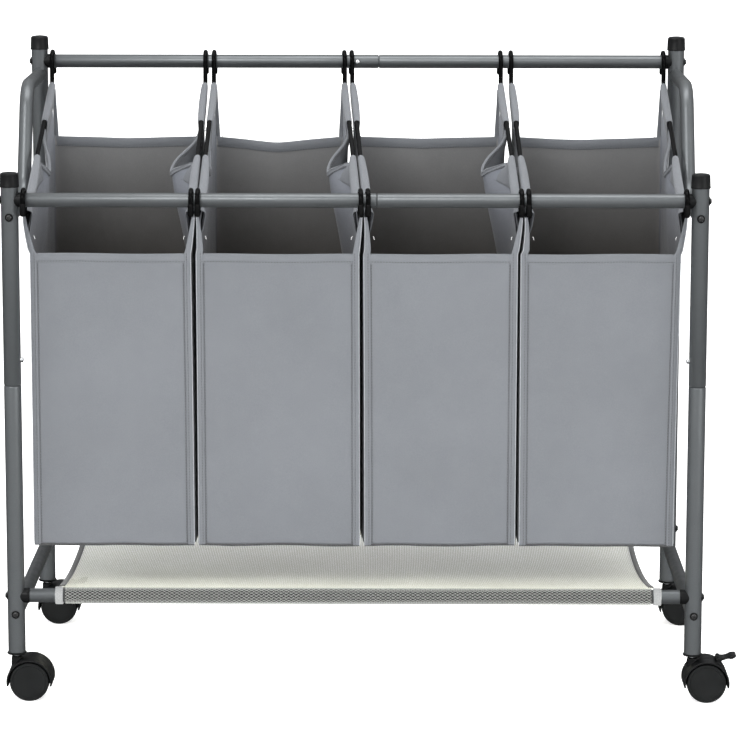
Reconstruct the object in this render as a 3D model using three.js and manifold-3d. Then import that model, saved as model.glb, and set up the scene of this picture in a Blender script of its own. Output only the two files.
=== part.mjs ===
// A four-bag laundry sorter on casters: a tube frame that is higher at the back, four fabric
// bags that hang from it on hooked rods, and a mesh shelf between the bottom rails.
// Millimetres, +Z up, +X to the right, +Y to the back. The floor is Z = 0.
import * as THREE from "three";
import { mergeVertices } from "three/addons/utils/BufferGeometryUtils.js";
import Module from "manifold-3d";

const wasm = await Module();
wasm.setup();

// ---- Frame --------------------------------------------------------------------------------
const FRAME_WIDTH = 860; // between post axes
const FRAME_DEPTH = 398; // between post axes
const POST_SEAM = 405;
const FRONT_POST_TOP = 670;
const BACK_POST_TOP = 809;
const FRONT_RAIL_HEIGHT = 639;
const BACK_RAIL_HEIGHT = 778.5;
const BOTTOM_RAIL_HEIGHT = 133.5;
const LOWER_SIDE_HEIGHT = 110.5;
const UPPER_SIDE_FRONT_HEIGHT = 618;
const UPPER_SIDE_BACK_HEIGHT = 760;
const POST_DIAMETER = 22;
const RAIL_DIAMETER = 18;
const SIDE_DIAMETER = 18;
const TUBE_WALL = 1.2;
const TOUCH_GAP = 0.3; // left between pieces that touch

// The upper side tube runs level from the back post, drops steeply, and runs level to the front.
const SIDE_DROP_TOP_DEPTH = 226; // from the front post axis to the upper corner
const SIDE_DROP_BOTTOM_DEPTH = 166; // and to the lower corner
const SIDE_BEND_RADIUS = 45;

// ---- Two-piece tubes and their snap buttons -----------------------------------------------
const FRONT_RAIL_SEAM = 26.8; // X of the joint between the front top rail's two halves
const BUTTON_HOOK_GAP = 0.7; // between the back rail's button and the hook beside it
const POST_NECK_LENGTH = 62;
const RAIL_NECK_LENGTH = 55;
const POST_BUTTON_RISE = 32; // from the seam to the button's axis
const RAIL_BUTTON_RISE = 28.4;
const NECK_SHOULDER = 6; // length of the full-size tube that closes in to the neck
const BUTTON_RADIUS = 3.3;
const BUTTON_FLANGE_RADIUS = 4.5;
const BUTTON_FLANGE_THICKNESS = 1.2;
const BUTTON_STAND_OUT = 3.6;
const BUTTON_DOME = 1.6;
const BUTTON_CLEARANCE = 0.3;

// ---- Post caps ------------------------------------------------------------------------------
const CAP_HEIGHT = 19;
const CAP_WALL = 1.1;
const CAP_CROWN = 4;
const CAP_DOME = 1.8;
const CAP_TAPER = 0.4; // the skirt is this much slimmer at its top
const CAP_SHOULDER = 1.8; // width of the sloping edge round the crown
const DOME_BREAK = 0.7; // where a dome's facets meet, as a share of its radius and of its height

// ---- Mesh shelf -----------------------------------------------------------------------------
const SHELF_LEFT_GAP = 60; // from the post axis to the mesh
const SHELF_RIGHT_GAP = 51;
const SHELF_SAG = 10;
const SHELF_FACETS = 9; // odd, so that the middle one is level
const MESH_THICKNESS = 1.2;
const SLEEVE_GAP = 0.5;

// ---- Bags and their rods --------------------------------------------------------------------
const ROD_DIAMETER = 6;
const HOOK_CLEARANCE = 0.6; // between a hook's inside and its rail
const FRONT_HOOK_DROP = 19; // from the rail axis to the hook's tip
const BACK_HOOK_DROP = 18;
const FRONT_ROD_DROP = 21; // from the rail axis to where the rod's straight run meets the hook's leg
const BACK_ROD_DROP = 28.5;
const ROD_BEND_RADIUS = 6;
const BAG_WALL = 3;
const BAG_HOOK_GAP = 2.4; // from a hook's leg to the nearest panel
const BAG_POST_GAP = 6.5; // from a post to the axis of the rod beside it
const BAG_BOTTOM = 196;
const BAG_FRONT_TOP = 569;
const BAG_BACK_TOP = 678;
const HANDLE_FRONT = 170; // depth of the cut-out's two ends from the front post axis
const HANDLE_BACK = 268;
const HANDLE_DEPTH = 36; // below the rod's axis
const FABRIC_CLEARANCE = 0.8; // between a rod and its fabric sleeve
const FABRIC_THICKNESS = 0.7;
const SLEEVE_END_GAP = 4; // from a panel's edge or the cut-out to the end of the rod's sleeve

// The bags hang a little unevenly. For each pair of neighbouring rods, how far the pair is from
// its even place, and the clear space between the pair's fabric sleeves.
const BAG_COUNT = 4;
const FRONT_PAIRS = [
  { shift: 6.5, gap: 0.7 },
  { shift: 10.75, gap: 1.3 },
  { shift: 5, gap: 1.3 },
];
const BACK_PAIRS = [
  { shift: 6.5, gap: 3.7 },
  { shift: -12.4, gap: 2.2 },
  { shift: -6.25, gap: 6.2 },
];

// ---- Casters --------------------------------------------------------------------------------
const WHEEL_RADIUS = 25;
const WHEEL_WIDTH = 17;
const WHEEL_INNER_FACE = 4.6; // from the caster's middle plane
const WHEEL_FACE = 3; // closed outer face, over the axle's end
const HUB_RADIUS = 8; // of the web round the axle
const WHEEL_EDGE = 2;
const CASTER_TRAIL = 17; // from the stem's axis to the axle
const AXLE_RADIUS = 3;
const AXLE_CLEARANCE = 0.35;
const AXLE_END_GAP = 0.6; // between the axle's end and the wheel's closed face
const HOOD_GAP = 1.5;
const HOOD_WALL = 2.5;
const HOOD_HALF_WIDTH = 23.5;
const HOOD_TIP_DROP = 5; // the hood's rim ends this far below the axle
const SPINE_THICKNESS = 7;
const BOSS_RADIUS = 7;
const CASTER_HEADROOM = 6; // from the hood's top to the post's bottom
const BOSS_GAP = 2.2; // below the socket's lip
const STEM_RADIUS = 4;
const STEM_LENGTH_IN_POST = 30;
const STEM_CLEARANCE = 0.4;
const SOCKET_LIP = 2.5;
const SOCKET_LIP_REACH = 1.6; // the lip stands out this far past the post
const SOCKET_LIP_TAPER = 1;
const SOCKET_LENGTH = 36;

// ---- Brake levers ---------------------------------------------------------------------------
const BRAKED = ["front_right", "back_left"];
const BRAKE_PIVOT_REACH = 16; // from the axle, away from the stem
const BRAKE_BARREL_RADIUS = 3.2;
const BRAKE_BARREL_GAP = 0.6; // between the barrel and the hood
const BRAKE_PIN_RADIUS = 1.5;
const BRAKE_PIN_CLEARANCE = 0.35;
const BRAKE_HALF_WIDTH = 11;
const BRAKE_THICKNESS = 3.2;
const BRAKE_REACH = 22; // from the pivot to the pedal's edge
const BRAKE_SLOPE = 12; // degrees above level at rest
const PEDAL_LENGTH = 9;
const PEDAL_OVERLAP = 1; // how far the arm runs into the pedal
const EAR_THICKNESS = 3;
const EAR_GAP = 0.5;
const EAR_RADIUS = 3.2;

// ---- Fineness -------------------------------------------------------------------------------
const TUBE_SIDES = 12;
const SMALL_SIDES = 8; // buttons, pins and axles
const ROD_SIDES = 6;
const WHEEL_SIDES = 20;
const STEPS_PER_BEND = 4;
const STEPS_PER_ROD_BEND = 2;
const STEPS_PER_HOOK = 5;
const CUT_MARGIN = 5; // how far a cutting tool runs past what it cuts

const HALF_DEPTH = FRAME_DEPTH / 2;
const HALF_WIDTH = FRAME_WIDTH / 2;
const POST_RADIUS = POST_DIAMETER / 2;
const RAIL_RADIUS = RAIL_DIAMETER / 2;
const SIDE_RADIUS = SIDE_DIAMETER / 2;
const ROD_RADIUS = ROD_DIAMETER / 2;
const HOOD_RADIUS = WHEEL_RADIUS + HOOD_GAP + HOOD_WALL;
const HOOD_TOP = WHEEL_RADIUS + HOOD_RADIUS;
const POST_BOTTOM = HOOD_TOP + CASTER_HEADROOM;
const BOSS_TOP = POST_BOTTOM - TOUCH_GAP - SOCKET_LIP - BOSS_GAP;
const STEM_TOP = POST_BOTTOM + STEM_LENGTH_IN_POST;
const BRAKE_PIVOT_SPOKE = HOOD_RADIUS + BRAKE_BARREL_GAP + BRAKE_BARREL_RADIUS;
const BRAKE_PIVOT_HEIGHT = WHEEL_RADIUS + Math.sqrt(BRAKE_PIVOT_SPOKE ** 2 - BRAKE_PIVOT_REACH ** 2);
const FABRIC_BORE_RADIUS = ROD_RADIUS + FABRIC_CLEARANCE;
const FABRIC_SLEEVE_RADIUS = FABRIC_BORE_RADIUS + FABRIC_THICKNESS;
const HOOK_RADIUS = RAIL_RADIUS + HOOK_CLEARANCE + ROD_RADIUS;
const BAG_END_GAP = HOOK_RADIUS + ROD_RADIUS + BAG_HOOK_GAP; // from a rail's axis to a panel

/** X of a bag's left (0) or right (1) rod at one rail, from that rail's pairs. */
function rodX(pairs, bag, side) {
  const outermost = HALF_WIDTH - POST_RADIUS - BAG_POST_GAP;
  if (bag + side === 0) return -outermost;
  if (bag + side === BAG_COUNT) return outermost;
  const pair = pairs[bag + side - 1];
  const evenPlace = -outermost + ((bag + side) * 2 * outermost) / BAG_COUNT;
  const sleeveHalf = FABRIC_SLEEVE_RADIUS * Math.cos(Math.PI / ROD_SIDES);
  const toRod = sleeveHalf + pair.gap / 2;
  return evenPlace + pair.shift + (side === 0 ? toRod : -toRod);
}

const BAG_RODS = Array.from({ length: BAG_COUNT }, (_, bag) => ({
  front: [0, 1].map((side) => rodX(FRONT_PAIRS, bag, side)),
  back: [0, 1].map((side) => rodX(BACK_PAIRS, bag, side)),
}));
const BACK_BUTTON_X = rodX(BACK_PAIRS, 2, 0) + ROD_RADIUS + BUTTON_HOOK_GAP + BUTTON_RADIUS;
const BACK_RAIL_SEAM = BACK_BUTTON_X + RAIL_BUTTON_RISE;

// ---- Materials ------------------------------------------------------------------------------
const steelGrey = { color: 0x5f6466, roughness: 0.38, metalness: 0.85 };
const blackPlastic = { color: 0x1a1a1b, roughness: 0.45, metalness: 0 };
const blackRubber = { color: 0x151515, roughness: 0.7, metalness: 0 };
const blackRod = { color: 0x161617, roughness: 0.3, metalness: 0.3 };
const brightSteel = { color: 0xd4d6d8, roughness: 0.2, metalness: 1 };
const greyFabric = { color: 0x96999e, roughness: 0.9, metalness: 0 };
const paleMesh = { color: 0xcdd0c8, roughness: 0.85, metalness: 0 };

const material = (look) => new THREE.MeshStandardMaterial(look);

// ---- Solids ---------------------------------------------------------------------------------

/** A closed geometry as a solid that can be joined and cut, moved by a matrix if one is given. */
function solidOf(geometry, matrix) {
  const plain = geometry.index ? geometry.toNonIndexed() : geometry.clone();
  plain.deleteAttribute("normal");
  plain.deleteAttribute("uv");
  if (matrix) plain.applyMatrix4(matrix);
  const merged = mergeVertices(plain, 1e-4);
  return new wasm.Manifold(
    new wasm.Mesh({
      numProp: 3,
      vertProperties: merged.attributes.position.array,
      triVerts: new Uint32Array(merged.index.array),
    }),
  );
}

/** A solid as a geometry that a mesh can show. */
function geometryOf(solid) {
  const mesh = solid.getMesh();
  const geometry = new THREE.BufferGeometry();
  geometry.setAttribute("position", new THREE.BufferAttribute(mesh.vertProperties, 3));
  geometry.setIndex(new THREE.BufferAttribute(mesh.triVerts, 1));
  geometry.computeVertexNormals();
  return geometry;
}

function addMesh(group, name, geometry, look) {
  const mesh = new THREE.Mesh(geometry, material(look));
  mesh.name = name;
  group.add(mesh);
  return mesh;
}

const polygon = (radius, sides, turn = 0) =>
  Array.from({ length: sides }, (_, i) => {
    const angle = turn + (i * 2 * Math.PI) / sides;
    return new THREE.Vector2(radius * Math.cos(angle), radius * Math.sin(angle));
  });

function ringShape(outer, inner, sides, turn = 0) {
  const shape = new THREE.Shape(polygon(outer, sides, turn));
  shape.holes.push(new THREE.Path(polygon(inner, sides, turn)));
  return shape;
}

/** A shape pulled up along +Z from Z = 0. */
const prism = (shape, length) =>
  new THREE.ExtrudeGeometry(shape, { depth: length, bevelEnabled: false });

/** A profile of [radius, height] pairs, anticlockwise with the axis on its left, turned about Z. */
function turned(profile, sides) {
  const points = profile.map(([radius, height]) => new THREE.Vector2(radius, height));
  return new THREE.LatheGeometry(points, sides).rotateX(Math.PI / 2);
}

/** The same for a profile that goes round a hollow and closes on itself. */
const turnedRing = (profile, sides) => turned([...profile, profile[0]], sides);

/** A round bar along +Y with its middle at the given place. */
function crossBar(radius, length, sides, x, y, z) {
  const bar = new THREE.CylinderGeometry(radius, radius, length, sides);
  return bar.translate(x, y, z);
}

function block(low, high) {
  const size = high.map((value, i) => value - low[i]);
  const middle = high.map((value, i) => (value + low[i]) / 2);
  return new THREE.BoxGeometry(...size).translate(...middle);
}

/** A side outline of [y, z] pairs pulled along X from low to high. */
function slab(outline, low, high) {
  const shape = new THREE.Shape(outline.map(([y, z]) => new THREE.Vector2(y, z)));
  const toSide = new THREE.Matrix4().makeBasis(
    new THREE.Vector3(0, 1, 0),
    new THREE.Vector3(0, 0, 1),
    new THREE.Vector3(1, 0, 0),
  );
  return prism(shape, high - low).applyMatrix4(toSide).translate(low, 0, 0);
}

/** A path that an extrusion follows through exactly these points, one step to the next. */
class StationPath extends THREE.Curve {
  constructor(stations) {
    super();
    this.stations = stations;
  }
  getPoint(t, target = new THREE.Vector3()) {
    const last = this.stations.length - 1;
    const index = Math.min(Math.floor(t * last + 1e-9), last - 1);
    const share = t * last - index;
    return target.lerpVectors(this.stations[index], this.stations[index + 1], share);
  }
  getTangent(t, target = new THREE.Vector3()) {
    const last = this.stations.length - 1;
    const index = Math.round(t * last);
    const before = this.stations[Math.max(index - 1, 0)];
    const here = this.stations[index];
    const after = this.stations[Math.min(index + 1, last)];
    const arriving = here.clone().sub(before).normalize();
    const leaving = after.clone().sub(here).normalize();
    return target.copy(arriving).add(leaving).normalize();
  }
  getTangentAt(u, target) {
    return this.getTangent(u, target);
  }
  getSpacedPoints(count) {
    return this.getPoints(count);
  }
}

/** A polyline in the YZ plane with its inner corners rounded to a radius. */
function roundedStations(corners, radius, steps) {
  const points = corners.map(([y, z]) => new THREE.Vector3(0, y, z));
  const stations = [points[0]];
  for (let i = 1; i < points.length - 1; i++) {
    const back = points[i - 1].clone().sub(points[i]).normalize();
    const on = points[i + 1].clone().sub(points[i]).normalize();
    const half = back.angleTo(on) / 2;
    const middle = back.clone().add(on).normalize();
    const centre = points[i].clone().addScaledVector(middle, radius / Math.sin(half));
    const first = points[i].clone().addScaledVector(back, radius / Math.tan(half));
    const from = first.sub(centre);
    const turn = Math.PI - 2 * half;
    const axis = new THREE.Vector3().crossVectors(on, back).normalize();
    for (let step = 0; step <= steps; step++) {
      const spoke = from.clone().applyAxisAngle(axis, (turn * step) / steps);
      stations.push(centre.clone().add(spoke));
    }
  }
  stations.push(points[points.length - 1]);
  return stations;
}

/** A half circle over a rail, from its front to its back, as stations in the YZ plane. */
function hookStations(y, z, radius) {
  return Array.from({ length: STEPS_PER_HOOK + 1 }, (_, i) => {
    const angle = Math.PI * (1 - i / STEPS_PER_HOOK);
    return new THREE.Vector3(0, y + radius * Math.cos(angle), z + radius * Math.sin(angle));
  });
}

function sweep(shape, stations) {
  const path = new StationPath(stations);
  return new THREE.ExtrudeGeometry(shape, {
    steps: stations.length - 1,
    extrudePath: path,
    bevelEnabled: false,
  });
}

// ---- Frame tubes ----------------------------------------------------------------------------

const neckRadius = (tubeRadius) => tubeRadius - TUBE_WALL - TOUCH_GAP;

/** A cutting tool for a snap button's hole, from a tube's axis out along +X. */
const buttonHole = (height, reach) => {
  const drill = new THREE.CylinderGeometry(
    BUTTON_RADIUS + BUTTON_CLEARANCE,
    BUTTON_RADIUS + BUTTON_CLEARANCE,
    reach,
    SMALL_SIDES,
  );
  return solidOf(drill.rotateZ(Math.PI / 2).translate(reach / 2, 0, height));
};

/** An open tube up +Z with a button hole on its +X side. */
function socketTube(radius, length, holeHeight) {
  const inner = radius - TUBE_WALL;
  const profile = [
    [inner, 0],
    [radius, 0],
    [radius, length],
    [inner, length],
  ];
  const tube = solidOf(turnedRing(profile, TUBE_SIDES));
  return tube.subtract(buttonHole(holeHeight, radius + CUT_MARGIN));
}

/** A tube up +Z whose top closes in to a neck that slides into its partner. */
function neckTube(radius, length, neckLength, buttonRise) {
  const inner = radius - TUBE_WALL;
  const neck = neckRadius(radius);
  const neckInner = neck - TUBE_WALL;
  const profile = [
    [inner, 0],
    [radius, 0],
    [radius, length],
    [neck, length],
    [neck, length + neckLength],
    [neckInner, length + neckLength],
    [neckInner, length - TUBE_WALL],
    [inner, length - NECK_SHOULDER],
  ];
  const tube = solidOf(turnedRing(profile, TUBE_SIDES));
  return tube.subtract(buttonHole(length + buttonRise, radius + CUT_MARGIN));
}

/** A post's outside with the touching gap, standing at (x, y), to cope a tube's end with. */
function postCutter(x, y, low, high) {
  const radius = (POST_RADIUS + TOUCH_GAP) / Math.cos(Math.PI / TUBE_SIDES);
  const post = prism(new THREE.Shape(polygon(radius, TUBE_SIDES)), high - low);
  return solidOf(post.translate(x, y, low));
}

const CORNERS = [
  { name: "front_left", x: -HALF_WIDTH, y: -HALF_DEPTH, top: FRONT_POST_TOP, inward: 0 },
  { name: "front_right", x: HALF_WIDTH, y: -HALF_DEPTH, top: FRONT_POST_TOP, inward: Math.PI },
  { name: "back_left", x: -HALF_WIDTH, y: HALF_DEPTH, top: BACK_POST_TOP, inward: 0 },
  { name: "back_right", x: HALF_WIDTH, y: HALF_DEPTH, top: BACK_POST_TOP, inward: Math.PI },
];

/** A button lies along +X with its flange inside the neck, which has this inner radius. */
function buttonGeometry(tubeRadius) {
  const neckInner = neckRadius(tubeRadius) - TUBE_WALL - BUTTON_CLEARANCE;
  const flangeTop = Math.sqrt(neckInner ** 2 - BUTTON_FLANGE_RADIUS ** 2);
  const shoulder = tubeRadius + BUTTON_STAND_OUT - BUTTON_DOME;
  const profile = [
    [0, flangeTop - BUTTON_FLANGE_THICKNESS],
    [BUTTON_FLANGE_RADIUS, flangeTop - BUTTON_FLANGE_THICKNESS],
    [BUTTON_FLANGE_RADIUS, flangeTop],
    [BUTTON_RADIUS, flangeTop],
    [BUTTON_RADIUS, shoulder],
    [BUTTON_RADIUS * DOME_BREAK, shoulder + BUTTON_DOME * DOME_BREAK],
    [0, shoulder + BUTTON_DOME],
  ];
  return turned(profile, SMALL_SIDES).rotateY(Math.PI / 2);
}

function addPost(frame, corner) {
  const post = new THREE.Group();
  post.position.set(corner.x, corner.y, 0);
  post.rotation.z = corner.inward;
  frame.add(post);

  const lowerLength = POST_SEAM - POST_BOTTOM;
  const lower = neckTube(POST_RADIUS, lowerLength, POST_NECK_LENGTH, POST_BUTTON_RISE);
  const lowerMesh = addMesh(post, `${corner.name}_post_lower`, geometryOf(lower), steelGrey);
  lowerMesh.position.z = POST_BOTTOM;

  const upperLength = corner.top - POST_SEAM - TOUCH_GAP;
  const upper = socketTube(POST_RADIUS, upperLength, POST_BUTTON_RISE - TOUCH_GAP);
  const upperMesh = addMesh(post, `${corner.name}_post_upper`, geometryOf(upper), steelGrey);
  upperMesh.position.z = POST_SEAM + TOUCH_GAP;

  const button = addMesh(
    post,
    `${corner.name}_post_button`,
    buttonGeometry(POST_RADIUS),
    brightSteel,
  );
  button.position.z = POST_SEAM + POST_BUTTON_RISE;

  addCap(post, `${corner.name}_cap`, corner.top);
  addSocket(post, `${corner.name}_caster_socket`);
}

function addCap(post, name, postTop) {
  const bore = POST_RADIUS + TOUCH_GAP;
  const skirt = bore + CAP_WALL;
  const bottom = postTop + TOUCH_GAP + CAP_CROWN - CAP_HEIGHT;
  const profile = [
    [bore, bottom],
    [skirt, bottom],
    [skirt - CAP_TAPER, postTop + CAP_CROWN - CAP_DOME],
    [skirt - CAP_SHOULDER, postTop + CAP_CROWN - CAP_DOME * (1 - DOME_BREAK)],
    [0, postTop + CAP_CROWN + TOUCH_GAP],
    [0, postTop + TOUCH_GAP],
    [bore, postTop + TOUCH_GAP],
    [bore, bottom],
  ];
  addMesh(post, name, turned(profile, TUBE_SIDES), blackPlastic);
}

function addSocket(post, name) {
  const bore = STEM_RADIUS + STEM_CLEARANCE;
  const plug = POST_RADIUS - TUBE_WALL - TOUCH_GAP;
  const lip = POST_RADIUS + SOCKET_LIP_REACH;
  const lipTop = POST_BOTTOM - TOUCH_GAP;
  const profile = [
    [bore, lipTop - SOCKET_LIP],
    [lip - SOCKET_LIP_TAPER, lipTop - SOCKET_LIP],
    [lip, lipTop],
    [plug, lipTop],
    [plug, lipTop + SOCKET_LENGTH],
    [bore, lipTop + SOCKET_LENGTH],
  ];
  addMesh(post, name, turnedRing(profile, TUBE_SIDES), blackPlastic);
}

/** Both halves and the button of a top rail, with its button turned to face the given way. */
function addTopRail(frame, name, y, z, seam, buttonTurn) {
  const rail = new THREE.Group();
  rail.position.set(seam, y, z);
  rail.rotation.set(0, Math.PI / 2, 0);
  frame.add(rail);

  // In the rail's own frame +Z runs to the right and the seam is at Z = 0.
  const cope = (solid) => {
    const toRail = new THREE.Matrix4().makeRotationY(-Math.PI / 2);
    let coped = solid;
    for (const side of [-HALF_WIDTH, HALF_WIDTH]) {
      const post = postCutter(side - seam, 0, -POST_DIAMETER, POST_DIAMETER);
      coped = coped.subtract(solidOf(geometryOf(post), toRail));
    }
    return coped;
  };
  const turnOver = new THREE.Matrix4().makeRotationX(Math.PI);
  const spin = new THREE.Matrix4().makeRotationZ(buttonTurn);

  const leftLength = HALF_WIDTH + seam;
  const left = socketTube(RAIL_RADIUS, leftLength, leftLength - RAIL_BUTTON_RISE);
  const leftPlace = spin.clone().multiply(
    new THREE.Matrix4().makeTranslation(0, 0, -leftLength),
  );
  const leftSolid = cope(solidOf(geometryOf(left), leftPlace));
  addMesh(rail, `${name}_rail_left`, geometryOf(leftSolid), steelGrey);

  const rightLength = HALF_WIDTH - seam - TOUCH_GAP;
  const right = neckTube(
    RAIL_RADIUS,
    rightLength,
    RAIL_NECK_LENGTH,
    RAIL_BUTTON_RISE + TOUCH_GAP,
  );
  const rightPlace = new THREE.Matrix4()
    .makeTranslation(0, 0, rightLength + TOUCH_GAP)
    .multiply(new THREE.Matrix4().makeRotationZ(buttonTurn))
    .multiply(turnOver);
  const rightSolid = cope(solidOf(geometryOf(right), rightPlace));
  addMesh(rail, `${name}_rail_right`, geometryOf(rightSolid), steelGrey);

  const button = addMesh(
    rail,
    `${name}_rail_button`,
    buttonGeometry(RAIL_RADIUS),
    brightSteel,
  );
  button.position.z = -RAIL_BUTTON_RISE;
  button.rotation.z = buttonTurn;
}

/** A plain tube between two posts along +Z of its own frame, coped to both. */
function copedTube(radius, span) {
  const shape = ringShape(radius, radius - TUBE_WALL, TUBE_SIDES);
  let tube = solidOf(prism(shape, span));
  const toTube = new THREE.Matrix4().makeRotationY(-Math.PI / 2);
  for (const end of [0, span]) {
    const post = postCutter(end, 0, -POST_DIAMETER, POST_DIAMETER);
    tube = tube.subtract(solidOf(geometryOf(post), toTube));
  }
  return geometryOf(tube);
}

function addBottomRails(frame) {
  for (const [name, y] of [
    ["front", -HALF_DEPTH],
    ["back", HALF_DEPTH],
  ]) {
    const tube = copedTube(RAIL_RADIUS, FRAME_WIDTH);
    const rail = addMesh(frame, `${name}_bottom_rail`, tube, steelGrey);
    rail.position.set(-HALF_WIDTH, y, BOTTOM_RAIL_HEIGHT);
    rail.rotation.y = Math.PI / 2;
  }
}

function addLowerSides(frame) {
  for (const [name, x] of [
    ["left", -HALF_WIDTH],
    ["right", HALF_WIDTH],
  ]) {
    const holder = new THREE.Group();
    holder.position.set(x, -HALF_DEPTH, LOWER_SIDE_HEIGHT);
    holder.rotation.z = Math.PI / 2;
    frame.add(holder);
    const tube = copedTube(SIDE_RADIUS, FRAME_DEPTH);
    const side = addMesh(holder, `${name}_lower_side`, tube, steelGrey);
    side.rotation.y = Math.PI / 2;
  }
}

function addUpperSides(frame) {
  const corners = [
    [0, UPPER_SIDE_FRONT_HEIGHT],
    [SIDE_DROP_BOTTOM_DEPTH, UPPER_SIDE_FRONT_HEIGHT],
    [SIDE_DROP_TOP_DEPTH, UPPER_SIDE_BACK_HEIGHT],
    [FRAME_DEPTH, UPPER_SIDE_BACK_HEIGHT],
  ];
  const stations = roundedStations(corners, SIDE_BEND_RADIUS, STEPS_PER_BEND);
  const section = ringShape(SIDE_RADIUS, SIDE_RADIUS - TUBE_WALL, TUBE_SIDES);
  let tube = solidOf(sweep(section, stations));
  for (const end of [0, FRAME_DEPTH]) {
    tube = tube.subtract(postCutter(0, end, 0, BACK_POST_TOP));
  }
  const geometry = geometryOf(tube);
  for (const [name, x] of [
    ["left", -HALF_WIDTH],
    ["right", HALF_WIDTH],
  ]) {
    const side = addMesh(frame, `${name}_upper_side`, geometry.clone(), steelGrey);
    side.position.set(x, -HALF_DEPTH, 0);
  }
}

// ---- Mesh shelf -----------------------------------------------------------------------------

function addShelf(frame) {
  const inner = RAIL_RADIUS + SLEEVE_GAP;
  const outer = inner + MESH_THICKNESS;
  const length = FRAME_WIDTH - SHELF_LEFT_GAP - SHELF_RIGHT_GAP;
  const sheet = [];
  const heightAt = (y) => inner + MESH_THICKNESS / 2 - SHELF_SAG * (1 - (y / HALF_DEPTH) ** 2);
  const stations = Array.from(
    { length: SHELF_FACETS + 1 },
    (_, i) => -HALF_DEPTH + (i * FRAME_DEPTH) / SHELF_FACETS,
  );
  for (const y of stations) sheet.push([y, heightAt(y) - MESH_THICKNESS / 2]);
  for (const y of stations.reverse()) sheet.push([y, heightAt(y) + MESH_THICKNESS / 2]);
  let solid = solidOf(slab(sheet, 0, length));
  for (const y of [-HALF_DEPTH, HALF_DEPTH]) {
    const lie = new THREE.Matrix4()
      .makeTranslation(0, y, 0)
      .multiply(new THREE.Matrix4().makeRotationY(Math.PI / 2));
    solid = solid.add(solidOf(prism(new THREE.Shape(polygon(outer, TUBE_SIDES)), length), lie));
  }
  for (const y of [-HALF_DEPTH, HALF_DEPTH]) {
    const lie = new THREE.Matrix4()
      .makeTranslation(-CUT_MARGIN, y, 0)
      .multiply(new THREE.Matrix4().makeRotationY(Math.PI / 2));
    const bore = prism(new THREE.Shape(polygon(inner, TUBE_SIDES)), length + 2 * CUT_MARGIN);
    solid = solid.subtract(solidOf(bore, lie));
  }
  const shelf = addMesh(frame, "mesh_shelf", geometryOf(solid), paleMesh);
  shelf.position.set(SHELF_LEFT_GAP - HALF_WIDTH, 0, BOTTOM_RAIL_HEIGHT);
}

// ---- Bags and rods --------------------------------------------------------------------------

/** Height of a rod's straight run at a depth measured from the front rail's axis. */
function rodHeight(depth) {
  const front = FRONT_RAIL_HEIGHT - FRONT_ROD_DROP;
  const back = BACK_RAIL_HEIGHT - BACK_ROD_DROP;
  const share = (depth - HOOK_RADIUS) / (FRAME_DEPTH - 2 * HOOK_RADIUS);
  return front + (back - front) * share;
}

/** Hooked at both ends: up from the front tip, over the front rail, back, and over the back rail. */
function rodGeometry(span) {
  const octagon = new THREE.Shape(polygon(ROD_RADIUS, ROD_SIDES, Math.PI / ROD_SIDES));
  const run = roundedStations(
    [
      [HOOK_RADIUS, FRONT_RAIL_HEIGHT],
      [HOOK_RADIUS, FRONT_RAIL_HEIGHT - FRONT_ROD_DROP],
      [span - HOOK_RADIUS, BACK_RAIL_HEIGHT - BACK_ROD_DROP],
      [span - HOOK_RADIUS, BACK_RAIL_HEIGHT],
    ],
    ROD_BEND_RADIUS,
    STEPS_PER_ROD_BEND,
  );
  const stations = [
    new THREE.Vector3(0, -HOOK_RADIUS, FRONT_RAIL_HEIGHT - FRONT_HOOK_DROP),
    ...hookStations(0, FRONT_RAIL_HEIGHT, HOOK_RADIUS).slice(0, -1),
    ...run.slice(0, -1),
    ...hookStations(span, BACK_RAIL_HEIGHT, HOOK_RADIUS),
    new THREE.Vector3(0, span + HOOK_RADIUS, BACK_RAIL_HEIGHT - BACK_HOOK_DROP),
  ];
  return sweep(octagon, stations);
}

/** Where a rod's own frame lies: it starts at the front rail and aims at its place at the back. */
function rodPlace(frontX, backX) {
  const turn = Math.atan2(frontX - backX, FRAME_DEPTH);
  return new THREE.Matrix4()
    .makeTranslation(frontX, -HALF_DEPTH, 0)
    .multiply(new THREE.Matrix4().makeRotationZ(turn));
}

/** A straight bar round a rod's run between two depths. */
function barOnRod(frontX, backX, fromDepth, toDepth, radius) {
  const octagon = new THREE.Shape(polygon(radius, ROD_SIDES, Math.PI / ROD_SIDES));
  const ends = [fromDepth, toDepth].map(
    (depth) => new THREE.Vector3(0, depth, rodHeight(depth)),
  );
  return solidOf(sweep(octagon, ends), rodPlace(frontX, backX));
}

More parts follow.
